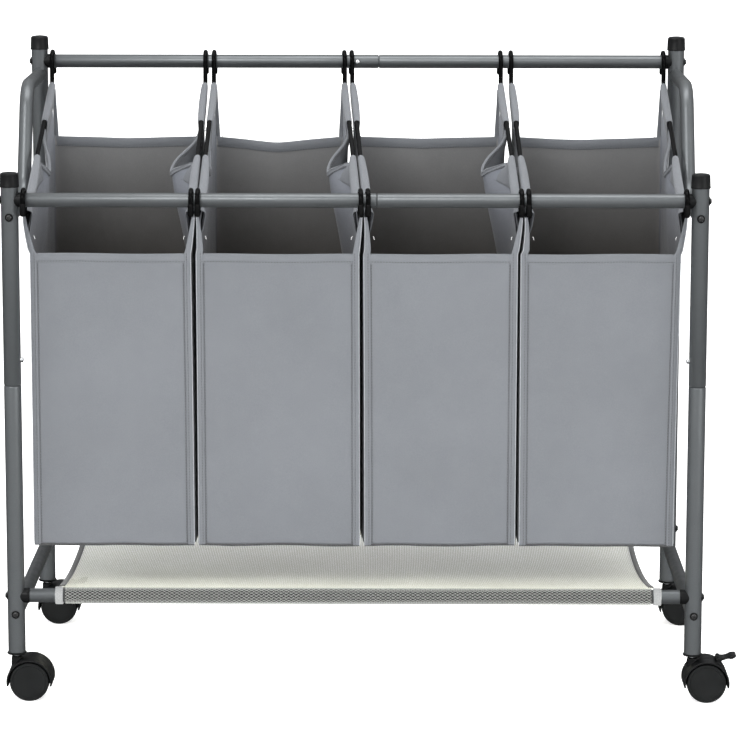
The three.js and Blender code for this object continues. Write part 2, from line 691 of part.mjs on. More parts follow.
function bagSolid(rods) {
  const near = BAG_END_GAP;
  const far = FRAME_DEPTH - BAG_END_GAP;
  const wallAt = (side, depth) =>
    rods.front[side] + ((rods.back[side] - rods.front[side]) * depth) / FRAME_DEPTH;
  const plan = (inset, from, to, low, high) => {
    const corners = [
      [wallAt(0, from) - BAG_WALL / 2 + inset, from - HALF_DEPTH],
      [wallAt(1, from) + BAG_WALL / 2 - inset, from - HALF_DEPTH],
      [wallAt(1, to) + BAG_WALL / 2 - inset, to - HALF_DEPTH],
      [wallAt(0, to) - BAG_WALL / 2 + inset, to - HALF_DEPTH],
    ];
    const shape = new THREE.Shape(corners.map(([x, y]) => new THREE.Vector2(x, y)));
    return solidOf(prism(shape, high - low).translate(0, 0, low));
  };
  const side = [
    [near - HALF_DEPTH - CUT_MARGIN, BAG_BOTTOM],
    [far - HALF_DEPTH + CUT_MARGIN, BAG_BOTTOM],
    [far - HALF_DEPTH + CUT_MARGIN, rodHeight(far + CUT_MARGIN)],
    [near - HALF_DEPTH - CUT_MARGIN, rodHeight(near - CUT_MARGIN)],
  ];
  const above = BACK_RAIL_HEIGHT;
  const outline = solidOf(slab(side, -HALF_WIDTH, HALF_WIDTH));
  const floor = BAG_BOTTOM + BAG_WALL;
  const frontCut = near - CUT_MARGIN;
  const backCut = far + CUT_MARGIN;
  let bag = plan(0, near, far, BAG_BOTTOM, above)
    .intersect(outline)
    .subtract(plan(BAG_WALL, near + BAG_WALL, far - BAG_WALL, floor, above + CUT_MARGIN))
    .subtract(plan(BAG_WALL, frontCut, near + 2 * BAG_WALL, BAG_FRONT_TOP, above))
    .subtract(plan(BAG_WALL, far - 2 * BAG_WALL, backCut, BAG_BACK_TOP, above));

  const sleeves = [
    [near + SLEEVE_END_GAP, HANDLE_FRONT - SLEEVE_END_GAP],
    [HANDLE_BACK + SLEEVE_END_GAP, far - SLEEVE_END_GAP],
  ];
  for (const i of [0, 1]) {
    for (const [from, to] of sleeves) {
      bag = bag.add(barOnRod(rods.front[i], rods.back[i], from, to, FABRIC_SLEEVE_RADIUS));
    }
  }
  for (const i of [0, 1]) {
    bag = bag.subtract(barOnRod(rods.front[i], rods.back[i], 0, FRAME_DEPTH, FABRIC_BORE_RADIUS));
  }
  const cutOut = [
    [HANDLE_FRONT - HALF_DEPTH, rodHeight(HANDLE_FRONT) - HANDLE_DEPTH],
    [HANDLE_BACK - HALF_DEPTH, rodHeight(HANDLE_BACK) - HANDLE_DEPTH],
    [HANDLE_BACK - HALF_DEPTH, rodHeight(HANDLE_BACK) + CUT_MARGIN],
    [HANDLE_FRONT - HALF_DEPTH, rodHeight(HANDLE_FRONT) + CUT_MARGIN],
  ];
  return bag.subtract(solidOf(slab(cutOut, -HALF_WIDTH, HALF_WIDTH)));
}

function addBags(frame) {
  BAG_RODS.forEach((rods, index) => {
    const name = `bag_${index + 1}`;
    addMesh(frame, name, geometryOf(bagSolid(rods)), greyFabric);
    ["left", "right"].forEach((side, i) => {
      const span = Math.hypot(FRAME_DEPTH, rods.back[i] - rods.front[i]);
      const rod = addMesh(frame, `${name}_rod_${side}`, rodGeometry(span), blackRod);
      rod.applyMatrix4(rodPlace(rods.front[i], rods.back[i]));
    });
  });
}

// ---- Casters --------------------------------------------------------------------------------

/** A wheel about +Y whose inner face is at Y = 0. */
function wheelGeometry() {
  const bore = AXLE_RADIUS + AXLE_CLEARANCE;
  const profile = [
    [bore, 0],
    [WHEEL_RADIUS - WHEEL_EDGE, 0],
    [WHEEL_RADIUS, WHEEL_EDGE],
    [WHEEL_RADIUS, WHEEL_WIDTH - WHEEL_EDGE],
    [WHEEL_RADIUS - WHEEL_EDGE, WHEEL_WIDTH],
    [0, WHEEL_WIDTH],
    [0, WHEEL_WIDTH - WHEEL_FACE],
    [bore, WHEEL_WIDTH - WHEEL_FACE],
  ];
  return turnedRing(profile, WHEEL_SIDES).rotateX(-Math.PI / 2);
}

/** Hood, spine, boss, stem and axle, with the stem's axis at X = Y = 0. */
function housingSolid(hasBrake) {
  const hoodInner = HOOD_RADIUS - HOOD_WALL;
  const full = 2 * HOOD_HALF_WIDTH;
  const disc = (radius, width) =>
    solidOf(crossBar(radius, width, WHEEL_SIDES, CASTER_TRAIL, 0, WHEEL_RADIUS));
  const reach = HOOD_RADIUS + CUT_MARGIN;
  const under = block(
    [CASTER_TRAIL - reach, -full, -CUT_MARGIN],
    [CASTER_TRAIL + reach, full, WHEEL_RADIUS - HOOD_TIP_DROP],
  );
  const hood = disc(HOOD_RADIUS, full).subtract(disc(hoodInner, full + CUT_MARGIN));
  const spine = disc(hoodInner + HOOD_WALL / 2, SPINE_THICKNESS);
  const bossBottom = WHEEL_RADIUS + AXLE_RADIUS;
  const boss = prism(new THREE.Shape(polygon(BOSS_RADIUS, TUBE_SIDES)), BOSS_TOP - bossBottom);
  const crown = disc(hoodInner, full).subtract(disc(hoodInner, SPINE_THICKNESS));
  const bossSolid = solidOf(boss.translate(0, 0, bossBottom)).subtract(crown);
  const stem = prism(new THREE.Shape(polygon(STEM_RADIUS, TUBE_SIDES)), STEM_TOP - WHEEL_RADIUS);
  const stemSolid = solidOf(stem.translate(0, 0, WHEEL_RADIUS)).subtract(crown);
  const axleLength = 2 * (WHEEL_INNER_FACE + WHEEL_WIDTH - WHEEL_FACE - AXLE_END_GAP);
  let housing = hood.add(spine).subtract(solidOf(under)).add(bossSolid).add(stemSolid);
  const hub = disc(HUB_RADIUS, SPINE_THICKNESS);
  const axle = solidOf(
    crossBar(AXLE_RADIUS, axleLength, SMALL_SIDES, CASTER_TRAIL, 0, WHEEL_RADIUS),
  );
  housing = housing.add(hub).add(axle);
  return hasBrake ? housing.add(brakeEars().subtract(disc(hoodInner, full))) : housing;
}

const brakePivotX = CASTER_TRAIL + BRAKE_PIVOT_REACH;

function brakeEars() {
  const pinLength = 2 * (BRAKE_HALF_WIDTH + EAR_GAP) + EAR_THICKNESS;
  let ears = solidOf(
    crossBar(BRAKE_PIN_RADIUS, pinLength, SMALL_SIDES, brakePivotX, 0, BRAKE_PIVOT_HEIGHT),
  );
  const footReach = BRAKE_PIVOT_REACH + EAR_RADIUS;
  const foot = WHEEL_RADIUS + Math.sqrt(HOOD_RADIUS ** 2 - footReach ** 2) - HOOD_WALL;
  for (const side of [-1, 1]) {
    const middle = side * (BRAKE_HALF_WIDTH + EAR_GAP + EAR_THICKNESS / 2);
    const round = crossBar(EAR_RADIUS, EAR_THICKNESS, SMALL_SIDES, 0, 0, 0);
    const post = block(
      [-EAR_RADIUS, -EAR_THICKNESS / 2, foot - BRAKE_PIVOT_HEIGHT],
      [EAR_RADIUS, EAR_THICKNESS / 2, 0],
    );
    const place = new THREE.Matrix4().makeTranslation(brakePivotX, middle, BRAKE_PIVOT_HEIGHT);
    ears = ears.add(solidOf(round, place)).add(solidOf(post, place));
  }
  return ears;
}

/** A pedal that turns on the pin at its own origin and reaches out along +X. */
function brakeGeometry() {
  const width = 2 * BRAKE_HALF_WIDTH;
  const half = BRAKE_THICKNESS / 2;
  const pedalStart = BRAKE_REACH - PEDAL_LENGTH;
  const slope = THREE.MathUtils.degToRad(BRAKE_SLOPE);
  const arm = block([0, -BRAKE_HALF_WIDTH, -half], [BRAKE_REACH, BRAKE_HALF_WIDTH, half]);
  const tilt = new THREE.Matrix4().makeRotationY(-slope);
  const pedalRise = Math.sin(slope) * pedalStart;
  const pedal = block(
    [pedalStart, -BRAKE_HALF_WIDTH, pedalRise - half],
    [BRAKE_REACH, BRAKE_HALF_WIDTH, pedalRise + half],
  );
  const cutEnd = block(
    [pedalStart + PEDAL_OVERLAP, -width, -width],
    [2 * BRAKE_REACH, width, width],
  );
  const barrel = crossBar(BRAKE_BARREL_RADIUS, width, SMALL_SIDES, 0, 0, 0);
  const boreRadius = BRAKE_PIN_RADIUS + BRAKE_PIN_CLEARANCE;
  const bore = crossBar(boreRadius, width + CUT_MARGIN, SMALL_SIDES, 0, 0, 0);
  const lever = solidOf(arm, tilt)
    .subtract(solidOf(cutEnd))
    .add(solidOf(pedal))
    .add(solidOf(barrel))
    .subtract(solidOf(bore));
  return geometryOf(lever);
}

function addCaster(frame, corner, hasBrake) {
  const caster = new THREE.Group();
  caster.position.set(corner.x, corner.y, 0);
  frame.add(caster);
  addMesh(
    caster,
    `${corner.name}_caster_housing`,
    geometryOf(housingSolid(hasBrake)),
    blackPlastic,
  );
  for (const [name, turn] of [
    ["near", Math.PI],
    ["far", 0],
  ]) {
    const side = new THREE.Group();
    side.position.set(CASTER_TRAIL, 0, WHEEL_RADIUS);
    side.rotation.z = turn;
    caster.add(side);
    const wheel = addMesh(side, `${corner.name}_wheel_${name}`, wheelGeometry(), blackRubber);
    wheel.position.y = WHEEL_INNER_FACE;
  }
  if (hasBrake) {
    const lever = addMesh(
      caster,
      `${corner.name}_brake_lever`,
      brakeGeometry(),
      blackPlastic,
    );
    lever.position.set(brakePivotX, 0, BRAKE_PIVOT_HEIGHT);
  }
}

// ---- Assembly -------------------------------------------------------------------------------

const sorter = new THREE.Group();
const frame = new THREE.Group();
sorter.add(frame);

for (const corner of CORNERS) {
  addPost(frame, corner);
  addCaster(frame, corner, BRAKED.includes(corner.name));
}
addTopRail(frame, "front", -HALF_DEPTH, FRONT_RAIL_HEIGHT, FRONT_RAIL_SEAM, Math.PI / 2);
addTopRail(frame, "back", HALF_DEPTH, BACK_RAIL_HEIGHT, BACK_RAIL_SEAM, -Math.PI / 2);
addBottomRails(frame);
addLowerSides(frame);
addUpperSides(frame);
addShelf(frame);
addBags(frame);

// The casters trail to the right, so the frame sits left of the origin, which is in the middle
// of the whole footprint.
const rightReach = HALF_WIDTH + brakePivotX + BRAKE_REACH;
const leftReach = HALF_WIDTH + POST_RADIUS + SOCKET_LIP_REACH;
frame.position.x = (leftReach - rightReach) / 2;

export default sorter;
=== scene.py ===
import math

import bmesh
import bpy
import numpy as np
from mathutils import Matrix, Vector, noise


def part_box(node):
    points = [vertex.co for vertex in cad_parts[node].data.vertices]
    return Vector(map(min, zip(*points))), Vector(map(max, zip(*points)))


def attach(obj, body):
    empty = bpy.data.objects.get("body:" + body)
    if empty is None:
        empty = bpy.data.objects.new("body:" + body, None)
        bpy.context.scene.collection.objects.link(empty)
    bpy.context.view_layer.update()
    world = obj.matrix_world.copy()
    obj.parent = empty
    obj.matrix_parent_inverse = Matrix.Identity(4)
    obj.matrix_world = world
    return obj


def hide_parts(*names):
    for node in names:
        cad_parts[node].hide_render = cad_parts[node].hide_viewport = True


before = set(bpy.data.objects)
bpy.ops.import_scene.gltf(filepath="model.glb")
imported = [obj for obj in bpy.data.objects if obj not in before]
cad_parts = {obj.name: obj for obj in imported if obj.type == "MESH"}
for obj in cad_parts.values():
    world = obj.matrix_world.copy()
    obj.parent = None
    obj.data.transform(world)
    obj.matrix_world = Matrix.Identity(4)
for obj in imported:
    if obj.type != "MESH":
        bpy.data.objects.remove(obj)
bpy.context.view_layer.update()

# ---- Sizes, in metres --------------------------------------------------------------------------
MM = 0.001
POST_RADIUS = 11 * MM
RAIL_RADIUS = 9 * MM
TUBE_WALL = 1.2 * MM
POST_NECK = 62 * MM
RAIL_NECK = 55 * MM
COLLAR_LENGTH = 6.6 * MM
SIDE_BENDS = (166 * MM, 226 * MM)  # the S-bend's two corners, behind the front posts
SIDE_BEND_RADIUS = 45 * MM
BUTTON_HOLE = 3.6 * MM
TUBE_REACH = 9 * MM  # of the side tubes past the posts' axes, before they are cut to fit
ROD_RADIUS = 3 * MM
HOOK_RADIUS = 12.6 * MM
FRONT_HOOK_DROP = 19 * MM
BACK_HOOK_DROP = 18 * MM
FRONT_ROD_DROP = 21 * MM
BACK_ROD_DROP = 28.5 * MM
ROD_BEND = 6 * MM
HANDLE_FRONT = 170 * MM  # how far behind the front posts the handle cut-out's two ends are
HANDLE_BACK = 268 * MM
CUT_DROP = 36 * MM  # how far below the rod the handle's slack cloth begins
LIP_LOWEST = 27 * MM  # below the rod, near the cut-out's front
LIP_PEAK = 0.18  # where along the cut-out that is
LIP_SHIFT = 1.4 * MM  # of the lip's hem into the bag, which keeps it off the next bag's
FLAP_DROP = 31 * MM
SLEEVE_OUTER = 3.95 * MM  # from the rod's middle to the sleeve's outer and inner sides
SLEEVE_INNER = 4.9 * MM
FRONT_TOP = 569 * MM
BACK_TOP = 678 * MM
WHEEL_RADIUS = 25 * MM
CASTER_TRAIL = 17 * MM
HOOD_RADIUS = 29 * MM
HOOD_INNER = 26.5 * MM
HOOD_HALF = 23.5 * MM
SHELF_SAG = 11 * MM
RIB_PITCH = 2.3 * MM  # of the shelf's yarns from front to back, and of those across them
CROSSING_PITCH = 3.1 * MM
NET_STRANDS, NET_PITCH = 16, 6.3 * MM
SWEEP_RADIUS, SWEEP_CURVE, SWEEP_HEIGHT = 14, 3, 12  # the studio's round backdrop

CORNERS = ("front_left", "front_right", "back_left", "back_right")
BRAKED = ("front_right", "back_left")
X, Y, Z = Vector((1, 0, 0)), Vector((0, 1, 0)), Vector((0, 0, 1))
OUTWARD = (-X, X)  # from a bag's left and right sides
AWAY = (-Y, Y)  # from its front and back panels


def centre(node):
    low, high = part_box(node)
    return (low + high) / 2


POSTS = {corner: centre(f"{corner}_caster_socket") for corner in CORNERS}
LEFT_X = POSTS["front_left"].x
RIGHT_X = POSTS["front_right"].x
FRONT_Y = POSTS["front_left"].y
BACK_Y = POSTS["back_left"].y
DEPTH = BACK_Y - FRONT_Y
FRONT_RAIL_Z = centre("front_rail_left").z
BACK_RAIL_Z = centre("back_rail_left").z
BOTTOM_RAIL_Z = centre("front_bottom_rail").z
LOWER_SIDE_Z = centre("left_lower_side").z
SIDE_LOW_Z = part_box("left_upper_side")[0].z + RAIL_RADIUS
SIDE_HIGH_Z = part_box("left_upper_side")[1].z - RAIL_RADIUS

# ---- Materials ---------------------------------------------------------------------------------


def add_node(tree, kind, **inputs):
    """A shader node with its inputs set to numbers and colours, or linked to other sockets."""
    node = tree.nodes.new("ShaderNode" + kind)
    for name, value in inputs.items():
        socket = node.inputs[name.replace("_", " ")]
        if isinstance(value, bpy.types.NodeSocket):
            tree.links.new(value, socket)
        else:
            socket.default_value = value
    return node


class Finish:
    """A Principled material with helpers for its texture nodes. Object coordinates are metres."""

    def __init__(self, name, color, roughness, metallic=0.0, **sockets):
        self.material = bpy.data.materials.new(name)
        self.material.use_nodes = True
        self.tree = self.material.node_tree
        self.shader = self.tree.nodes["Principled BSDF"]
        self.color = color
        sockets.update(Base_Color=(*color, 1), Roughness=roughness, Metallic=metallic)
        for socket, value in sockets.items():
            self.shader.inputs[socket.replace("_", " ")].default_value = value
        self.space = self.node("TexCoord").outputs["Object"]
        self.bumped = None

    def node(self, kind, **inputs):
        return add_node(self.tree, kind, **inputs)

    def link(self, source, socket):
        self.tree.links.new(source, self.shader.inputs[socket])

    def noise(self, scale, detail=3.0, rough=0.55, stretch=None):
        space = self.space
        if stretch:
            space = self.node("Mapping", Scale=stretch, Vector=space).outputs["Vector"]
        node = self.node("TexNoise", Scale=scale, Detail=detail, Roughness=rough, Vector=space)
        return node.outputs["Fac"]

    def waves(self, pitch, direction, distort=0.0):
        """Bands of the given pitch across an axis."""
        scale = 2 * math.pi / (20 * pitch)
        node = self.node("TexWave", Scale=scale, Distortion=distort, Detail=1.0, Vector=self.space)
        node.inputs["Detail Scale"].default_value = 1.0
        node.wave_type = "BANDS"
        node.bands_direction = direction
        return node.outputs["Fac"]

    def math(self, operation, first, second):
        node = self.node("Math")
        node.operation = operation
        for socket, value in zip(node.inputs, (first, second)):
            self.tree.links.new(value, socket)
        return node.outputs[0]

    def ramp(self, source, low, high, low_value, high_value):
        limits = {"From_Min": low, "From_Max": high, "To_Min": low_value, "To_Max": high_value}
        return self.node("MapRange", Value=source, **limits).outputs["Result"]

    def mix(self, blend):
        """A mix of whole colours into Base Color, with what is linked there now as its A."""
        node = self.node("Mix")
        node.data_type = "RGBA"
        node.blend_type = blend
        base = self.shader.inputs["Base Color"]
        self.tree.links.new(base.links[0].from_socket, node.inputs["A"])
        self.tree.links.new(node.outputs["Result"], base)
        return node

    def tint(self, source, low, high, dark, light):
        """Base colour between two shades of what it is now, by a texture."""
        node = self.node("ValToRGB", Fac=source)
        for element, position, shade in zip(node.color_ramp.elements, (low, high), (dark, light)):
            element.position = position
            element.color = (*(c * shade for c in self.color), 1)
        if self.shader.inputs["Base Color"].is_linked:
            mix = self.mix("MIX")
            mix.inputs["Factor"].default_value = 0.5
            self.tree.links.new(node.outputs["Color"], mix.inputs["B"])
        else:
            self.link(node.outputs["Color"], "Base Color")

    def paint_shade_down(self, low, high, shade):
        """Painted shade: multiplies the base colour by a dark shade at a low height, by nothing at
        a high one.
        """
        parts = self.node("SeparateXYZ", Vector=self.space)
        mix = self.mix("MULTIPLY")
        mix.clamp_factor = True
        mix.inputs["B"].default_value = (*shade, 1)
        share = self.ramp(parts.outputs["Z"], low, high, 1.0, 0.0)
        self.tree.links.new(share, mix.inputs["Factor"])

    def rough(self, source, low, high, smooth, dull):
        self.link(self.ramp(source, low, high, smooth, dull), "Roughness")

    def bump(self, source, distance, strength=1.0):
        node = self.node("Bump", Distance=distance, Strength=strength, Height=source)
        if self.bumped is not None:
            self.tree.links.new(self.bumped, node.inputs["Normal"])
        self.bumped = node.outputs["Normal"]
        self.link(self.bumped, "Normal")


def painted_steel():
    finish = Finish("painted_steel", (0.108, 0.115, 0.119), 0.34, 0.72, Coat_Weight=0.05)
    finish.tint(finish.noise(11, 4), 0.35, 0.68, 0.9, 1.07)
    finish.tint(finish.noise(2300, 2, 0.7), 0.35, 0.7, 0.8, 1.25)
    finish.rough(finish.noise(60, 4, 0.6), 0.3, 0.7, 0.31, 0.43)
    finish.bump(finish.noise(1500, 3, 0.6), 0.00009, 0.5)
    finish.bump(finish.noise(160, 2), 0.00025, 0.25)
    return finish.material


def moulded(name, color, roughness, grain, gloss=0.13):
    finish = Finish(name, color, roughness, 0.0, Specular_IOR_Level=gloss)
    finish.tint(finish.noise(45, 3), 0.3, 0.7, 0.82, 1.25)
    finish.rough(finish.noise(120, 4, 0.6), 0.3, 0.7, roughness - 0.07, roughness + 0.09)
    finish.bump(finish.noise(grain, 2, 0.6), 0.00012, 0.45)
    return finish.material


def fabric(name, color, sheen, pitch=1.1 * MM, painted_shade=False):
    finish = Finish(name, color, 0.78, 0.0, Sheen_Weight=sheen, Sheen_Roughness=0.45)
    finish.tint(finish.noise(6, 3), 0.35, 0.65, 0.92, 1.06)
    finish.tint(finish.noise(900, 2, 0.7), 0.3, 0.7, 0.86, 1.14)
    if painted_shade:
        # Painted shade: the lining darkens towards the bag's bottom, standing for the shade deep
        # inside the bag.
        finish.paint_shade_down(0.49, 0.665, (0.19, 0.155, 0.125))
    finish.rough(finish.noise(35, 3), 0.3, 0.7, 0.7, 0.86)
    across = finish.math("MULTIPLY", finish.waves(pitch, "X"), finish.waves(pitch, "Z"))
    weave = finish.math("ADD", across, finish.waves(pitch, "Y"))
    finish.bump(weave, 0.00016, 0.55)
    finish.bump(finish.noise(30, 3, 0.5), 0.0011, 0.3)
    finish.bump(finish.noise(9, 2, 0.4, (1, 1, 0.45)), 0.006, 0.35)
    return finish.material


def ribbed_mesh():
    finish = Finish("shelf_mesh", (0.82, 0.82, 0.7), 0.7, 0.0, Sheen_Weight=0.15)
    finish.tint(finish.noise(8, 3), 0.3, 0.7, 0.93, 1.04)
    # Painted shade: the ribs' grooves are darker, following the bump below.
    finish.tint(finish.waves(0.8 * MM, "Y", 0.6), 0.1, 0.8, 0.84, 1.06)
    finish.bump(finish.waves(0.8 * MM, "Y", 0.6), 0.0002, 0.6)
    finish.rough(finish.noise(80, 2), 0.3, 0.7, 0.62, 0.8)
    return finish.material


def yarn(name, color, pitch):
    finish = Finish(name, color, 0.8, 0.0, Sheen_Weight=0.25)
    finish.tint(finish.noise(700, 3, 0.7), 0.3, 0.7, 0.8, 1.18)
    finish.bump(finish.waves(pitch, "DIAGONAL"), 0.00018, 0.6)
    finish.bump(finish.noise(1400, 2), 0.0001, 0.5)
    finish.rough(finish.noise(200, 2), 0.3, 0.7, 0.72, 0.88)
    return finish.material


def brushed(name, color, roughness):
    finish = Finish(name, color, roughness, 1.0)
    finish.tint(finish.noise(240, 3), 0.3, 0.7, 0.86, 1.06)
    lines = finish.noise(900, 3, 0.6, (1, 1, 0.1))
    finish.rough(lines, 0.3, 0.7, roughness - 0.06, roughness + 0.1)
    finish.bump(finish.noise(1800, 2, 0.6, (1, 1, 0.15)), 0.00005, 0.4)
    return finish.material


STEEL = painted_steel()
PLASTIC = moulded("black_plastic", (0.0042, 0.0044, 0.0046), 0.38, 1500)
WHEEL = moulded("wheel_plastic", (0.008, 0.0086, 0.0086), 0.48, 2200)
ROD = moulded("black_rod", (0.001, 0.001, 0.0011), 0.18, 900, 0.05)
TIP = moulded("rod_tip", (0.0018, 0.0018, 0.0019), 0.34, 1200, 0.09)
BOLT = moulded("black_bolt", (0.012, 0.012, 0.012), 0.22, 1800, 0.5)
BRIGHT = brushed("bright_steel", (0.72, 0.73, 0.74), 0.2)
OUTSIDE = fabric("bag_fabric", (0.118, 0.1245, 0.1355), 0.1)
# Both linings carry painted shade that deepens towards the bag's bottom.
INSIDE = fabric("bag_lining", (0.148, 0.148, 0.148), 0.05, painted_shade=True)
# Painted light: the side panels' inner faces get a bluer copy of the lining, standing for the
# lamp's light on them.
LIT_SIDE_LINING = fabric("bag_side_lining_lit", (0.14, 0.15, 0.172), 0.08, painted_shade=True)
HEM = fabric("bag_hem", (0.122, 0.129, 0.14), 0.12, 0.9 * MM)
PIPING = yarn("bag_piping", (0.25, 0.26, 0.275), 0.8 * MM)
# Painted shade: the bottom seam is nearly black, for the shadow line under the bag's bottom edge.
BOTTOM_SEAM_SHADE = yarn("bag_bottom_seam_shade", (0.035, 0.036, 0.037), 0.8 * MM)
STITCH = yarn("stitching", (0.07, 0.073, 0.078), 0.6 * MM)
MESH = ribbed_mesh()
NET = yarn("net_yarn", (0.46, 0.47, 0.44), 0.7 * MM)
# Painted shade: near black, for the shaded rail seen through the net's holes.
NET_SHADE_SHEET = yarn("net_painted_shade", (0.022, 0.023, 0.022), 0.7 * MM)
TAPE = yarn("binding_tape", (0.08, 0.08, 0.077), 1.1 * MM)
BAND = yarn("end_band", (0.25, 0.254, 0.252), 0.9 * MM)
WHITE = yarn("white_thread", (0.75, 0.75, 0.74), 0.5 * MM)

# ---- Mesh building -----------------------------------------------------------------------------


def link_object(name, data):
    thing = bpy.data.objects.new(name, data)
    bpy.context.scene.collection.objects.link(thing)
    return thing


def shade(mesh, angle):
    """Smooth shading, with sharp edges above an angle in degrees."""
    mesh.polygons.foreach_set("use_smooth", [True] * len(mesh.polygons))
    mesh.set_sharp_from_angle(angle=math.radians(angle))


class Build:
    """Vertices and faces of one piece, with a material index for each face."""

    def __init__(self):
        self.points, self.faces, self.kinds = [], [], []

    def add(self, rings, loop=False, caps=True, kind=0):
        """Faces between closed rings of equal length. loop joins the last ring to the first."""
        first, size, rows = len(self.points), len(rings[0]), len(rings)
        for ring in rings:
            self.points.extend(Vector(p) for p in ring)
        for r in range(rows if loop else rows - 1):
            a, b = first + r * size, first + (r + 1) % rows * size
            for c in range(size):
                d = (c + 1) % size
                self.faces.append((a + c, a + d, b + d, b + c))
                self.kinds.append(kind)
        if caps and not loop:
            last = first + (rows - 1) * size
            self.faces.append(tuple(first + c for c in reversed(range(size))))
            self.faces.append(tuple(last + c for c in range(size)))
            self.kinds.extend((kind, kind))

    def mesh(self, name, materials=(), merge=1e-6):
        mesh = bpy.data.meshes.new(name)
        mesh.from_pydata([tuple(p) for p in self.points], [], self.faces)
        for one in materials:
            mesh.materials.append(one)
        mesh.polygons.foreach_set("material_index", self.kinds)
        work = bmesh.new()
        work.from_mesh(mesh)
        if merge:
            bmesh.ops.remove_doubles(work, verts=work.verts, dist=merge)
            bmesh.ops.dissolve_degenerate(work, edges=work.edges, dist=merge / 2)
        bmesh.ops.recalc_face_normals(work, faces=work.faces)
        work.to_mesh(mesh)
        work.free()
        return mesh

    def piece(self, name, body, material, nodes=(), slot=None, angle=38, merge=1e-6):
        materials = material if isinstance(material, list) else [material]
        return register(name, self.mesh(name, materials, merge), body, nodes, angle)


def register(name, mesh, body, nodes=(), angle=38):
    """Puts a mesh in the scene as a piece that rides on a body."""
    shade(mesh, angle)
    piece = link_object(name, mesh)
    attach(piece, body)
    if nodes:
        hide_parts(*nodes)
    return piece


def apply_modifiers(piece, angle=38):
    graph = bpy.context.evaluated_depsgraph_get()
    mesh = bpy.data.meshes.new_from_object(piece.evaluated_get(graph))
    piece.modifiers.clear()
    piece.data = mesh
    shade(mesh, angle)


def quarter(steps, first=0):
    """The cosine and sine at even steps through a quarter turn."""
    angles = (math.pi / 2 * i / steps for i in range(first, steps + 1))
    return [(math.cos(a), math.sin(a)) for a in angles]


def circle(centre_at, u, v, radius, sides, turn=0.0):
    return [
        centre_at + u * (radius * math.cos(a)) + v * (radius * math.sin(a))
        for a in (turn + 2 * math.pi * i / sides for i in range(sides))
    ]


def turned(build, profile, place, sides=48, closed=True, kind=0):
    """A profile of (radius, height) turned about Z, then placed."""
    rings = []
    for radius, height in profile:
        at = Vector((0, 0, height))
        rings.append([place @ p for p in circle(at, X, Y, radius, sides)])
    build.add(rings, loop=closed, caps=False, kind=kind)


def facing(point, direction, up=Z):
    """A placing whose Z runs along direction."""
    z = Vector(direction).normalized()
    x = up.cross(z)
    x = x.normalized() if x.length > 1e-6 else X
    y = z.cross(x)
    turn = Matrix((x, y, z)).transposed().to_4x4()
    return Matrix.Translation(point) @ turn


def coped(point, direction, axis, radius):
    """Where a line along direction meets an upright cylinder round axis, on the point's side."""
    flat = Vector((point.x - axis.x, point.y - axis.y))
    way = Vector((direction.x, direction.y))
    a = way.dot(way)
    b = 2 * flat.dot(way)
    c = flat.dot(flat) - radius**2
    under = max(b * b - 4 * a * c, 0)
    roots = [(-b - math.sqrt(under)) / (2 * a), (-b + math.sqrt(under)) / (2 * a)]
    return point + direction * min(roots, key=abs)


def path_frames(path, side):
    """The tangent and two cross directions at each point of a path that lies square to side."""
    frames = []
    for i, point in enumerate(path):
        before, after = path[max(i - 1, 0)], path[min(i + 1, len(path) - 1)]
        tangent = (after - before).normalized()
        u = (side - tangent * side.dot(tangent)).normalized()
        frames.append((point, tangent, u, tangent.cross(u)))
    return frames


def pipe(build, path, radius, wall, sides=40, side=Z, copes=(None, None)):
    """A tube with its bore. A cope is (post axis, radius) for a saddle-cut end."""
    frames = path_frames(path, side)

    def skin(r):
        rings = [circle(at, u, v, r, sides) for at, _, u, v in frames]
        for end, cope in zip((0, -1), copes):
            if cope is not None:
                tangent = frames[end][1]
                rings[end] = [coped(p, tangent, cope[0], cope[1]) for p in rings[end]]
        return rings

    outer, inner = skin(radius), skin(radius - wall)
    build.add(outer + inner[::-1], loop=True, caps=False)


def rounded_path(corners, radius, steps):
    """A polyline in a YZ plane with its inner corners rounded."""
    path = [corners[0]]
    for before, corner, after in zip(corners, corners[1:], corners[2:]):
        back = (before - corner).normalized()
        on = (after - corner).normalized()
        half = back.angle(on) / 2
        middle = corner + (back + on).normalized() * (radius / math.sin(half))
        start = corner + back * (radius / math.tan(half)) - middle
        axis = on.cross(back).normalized()
        turn = math.pi - 2 * half
        for step in range(steps + 1):
            path.append(middle + Matrix.Rotation(turn * step / steps, 3, axis) @ start)
    path.append(corners[-1])
    return path


def strip(build, path, across, normal, width, thick, kind=0, taper=None):
    """A flat band with rounded edges along a path. across and normal are one for each point."""
    rings = []
    for i, point in enumerate(path):
        share = 1.0 if taper is None else taper[i]
        a, n = across[i] * (width * share / 2), normal[i] * (thick / 2)
        corner = 0.72
        rings.append(
            [
                point - a * corner - n,
                point - a,
                point - a * corner + n,
                point + a * corner + n,
                point + a,
                point + a * corner - n,
            ]
        )
    build.add(rings, kind=kind)


def resample(path, step):
    """Evenly spaced points along a polyline, with the direction at each."""
    lengths = [0.0]
    for a, b in zip(path, path[1:]):
        lengths.append(lengths[-1] + (b - a).length)
    count = max(int(lengths[-1] / step), 1)
    found, at = [], 0
    for i in range(count + 1):
        goal = lengths[-1] * i / count
        while at < len(path) - 2 and lengths[at + 1] < goal:
            at += 1
        span = lengths[at + 1] - lengths[at] or 1e-9
        share = (goal - lengths[at]) / span
        along = (path[at + 1] - path[at]).normalized()
        found.append((path[at].lerp(path[at + 1], share), along, at, share))
    return found


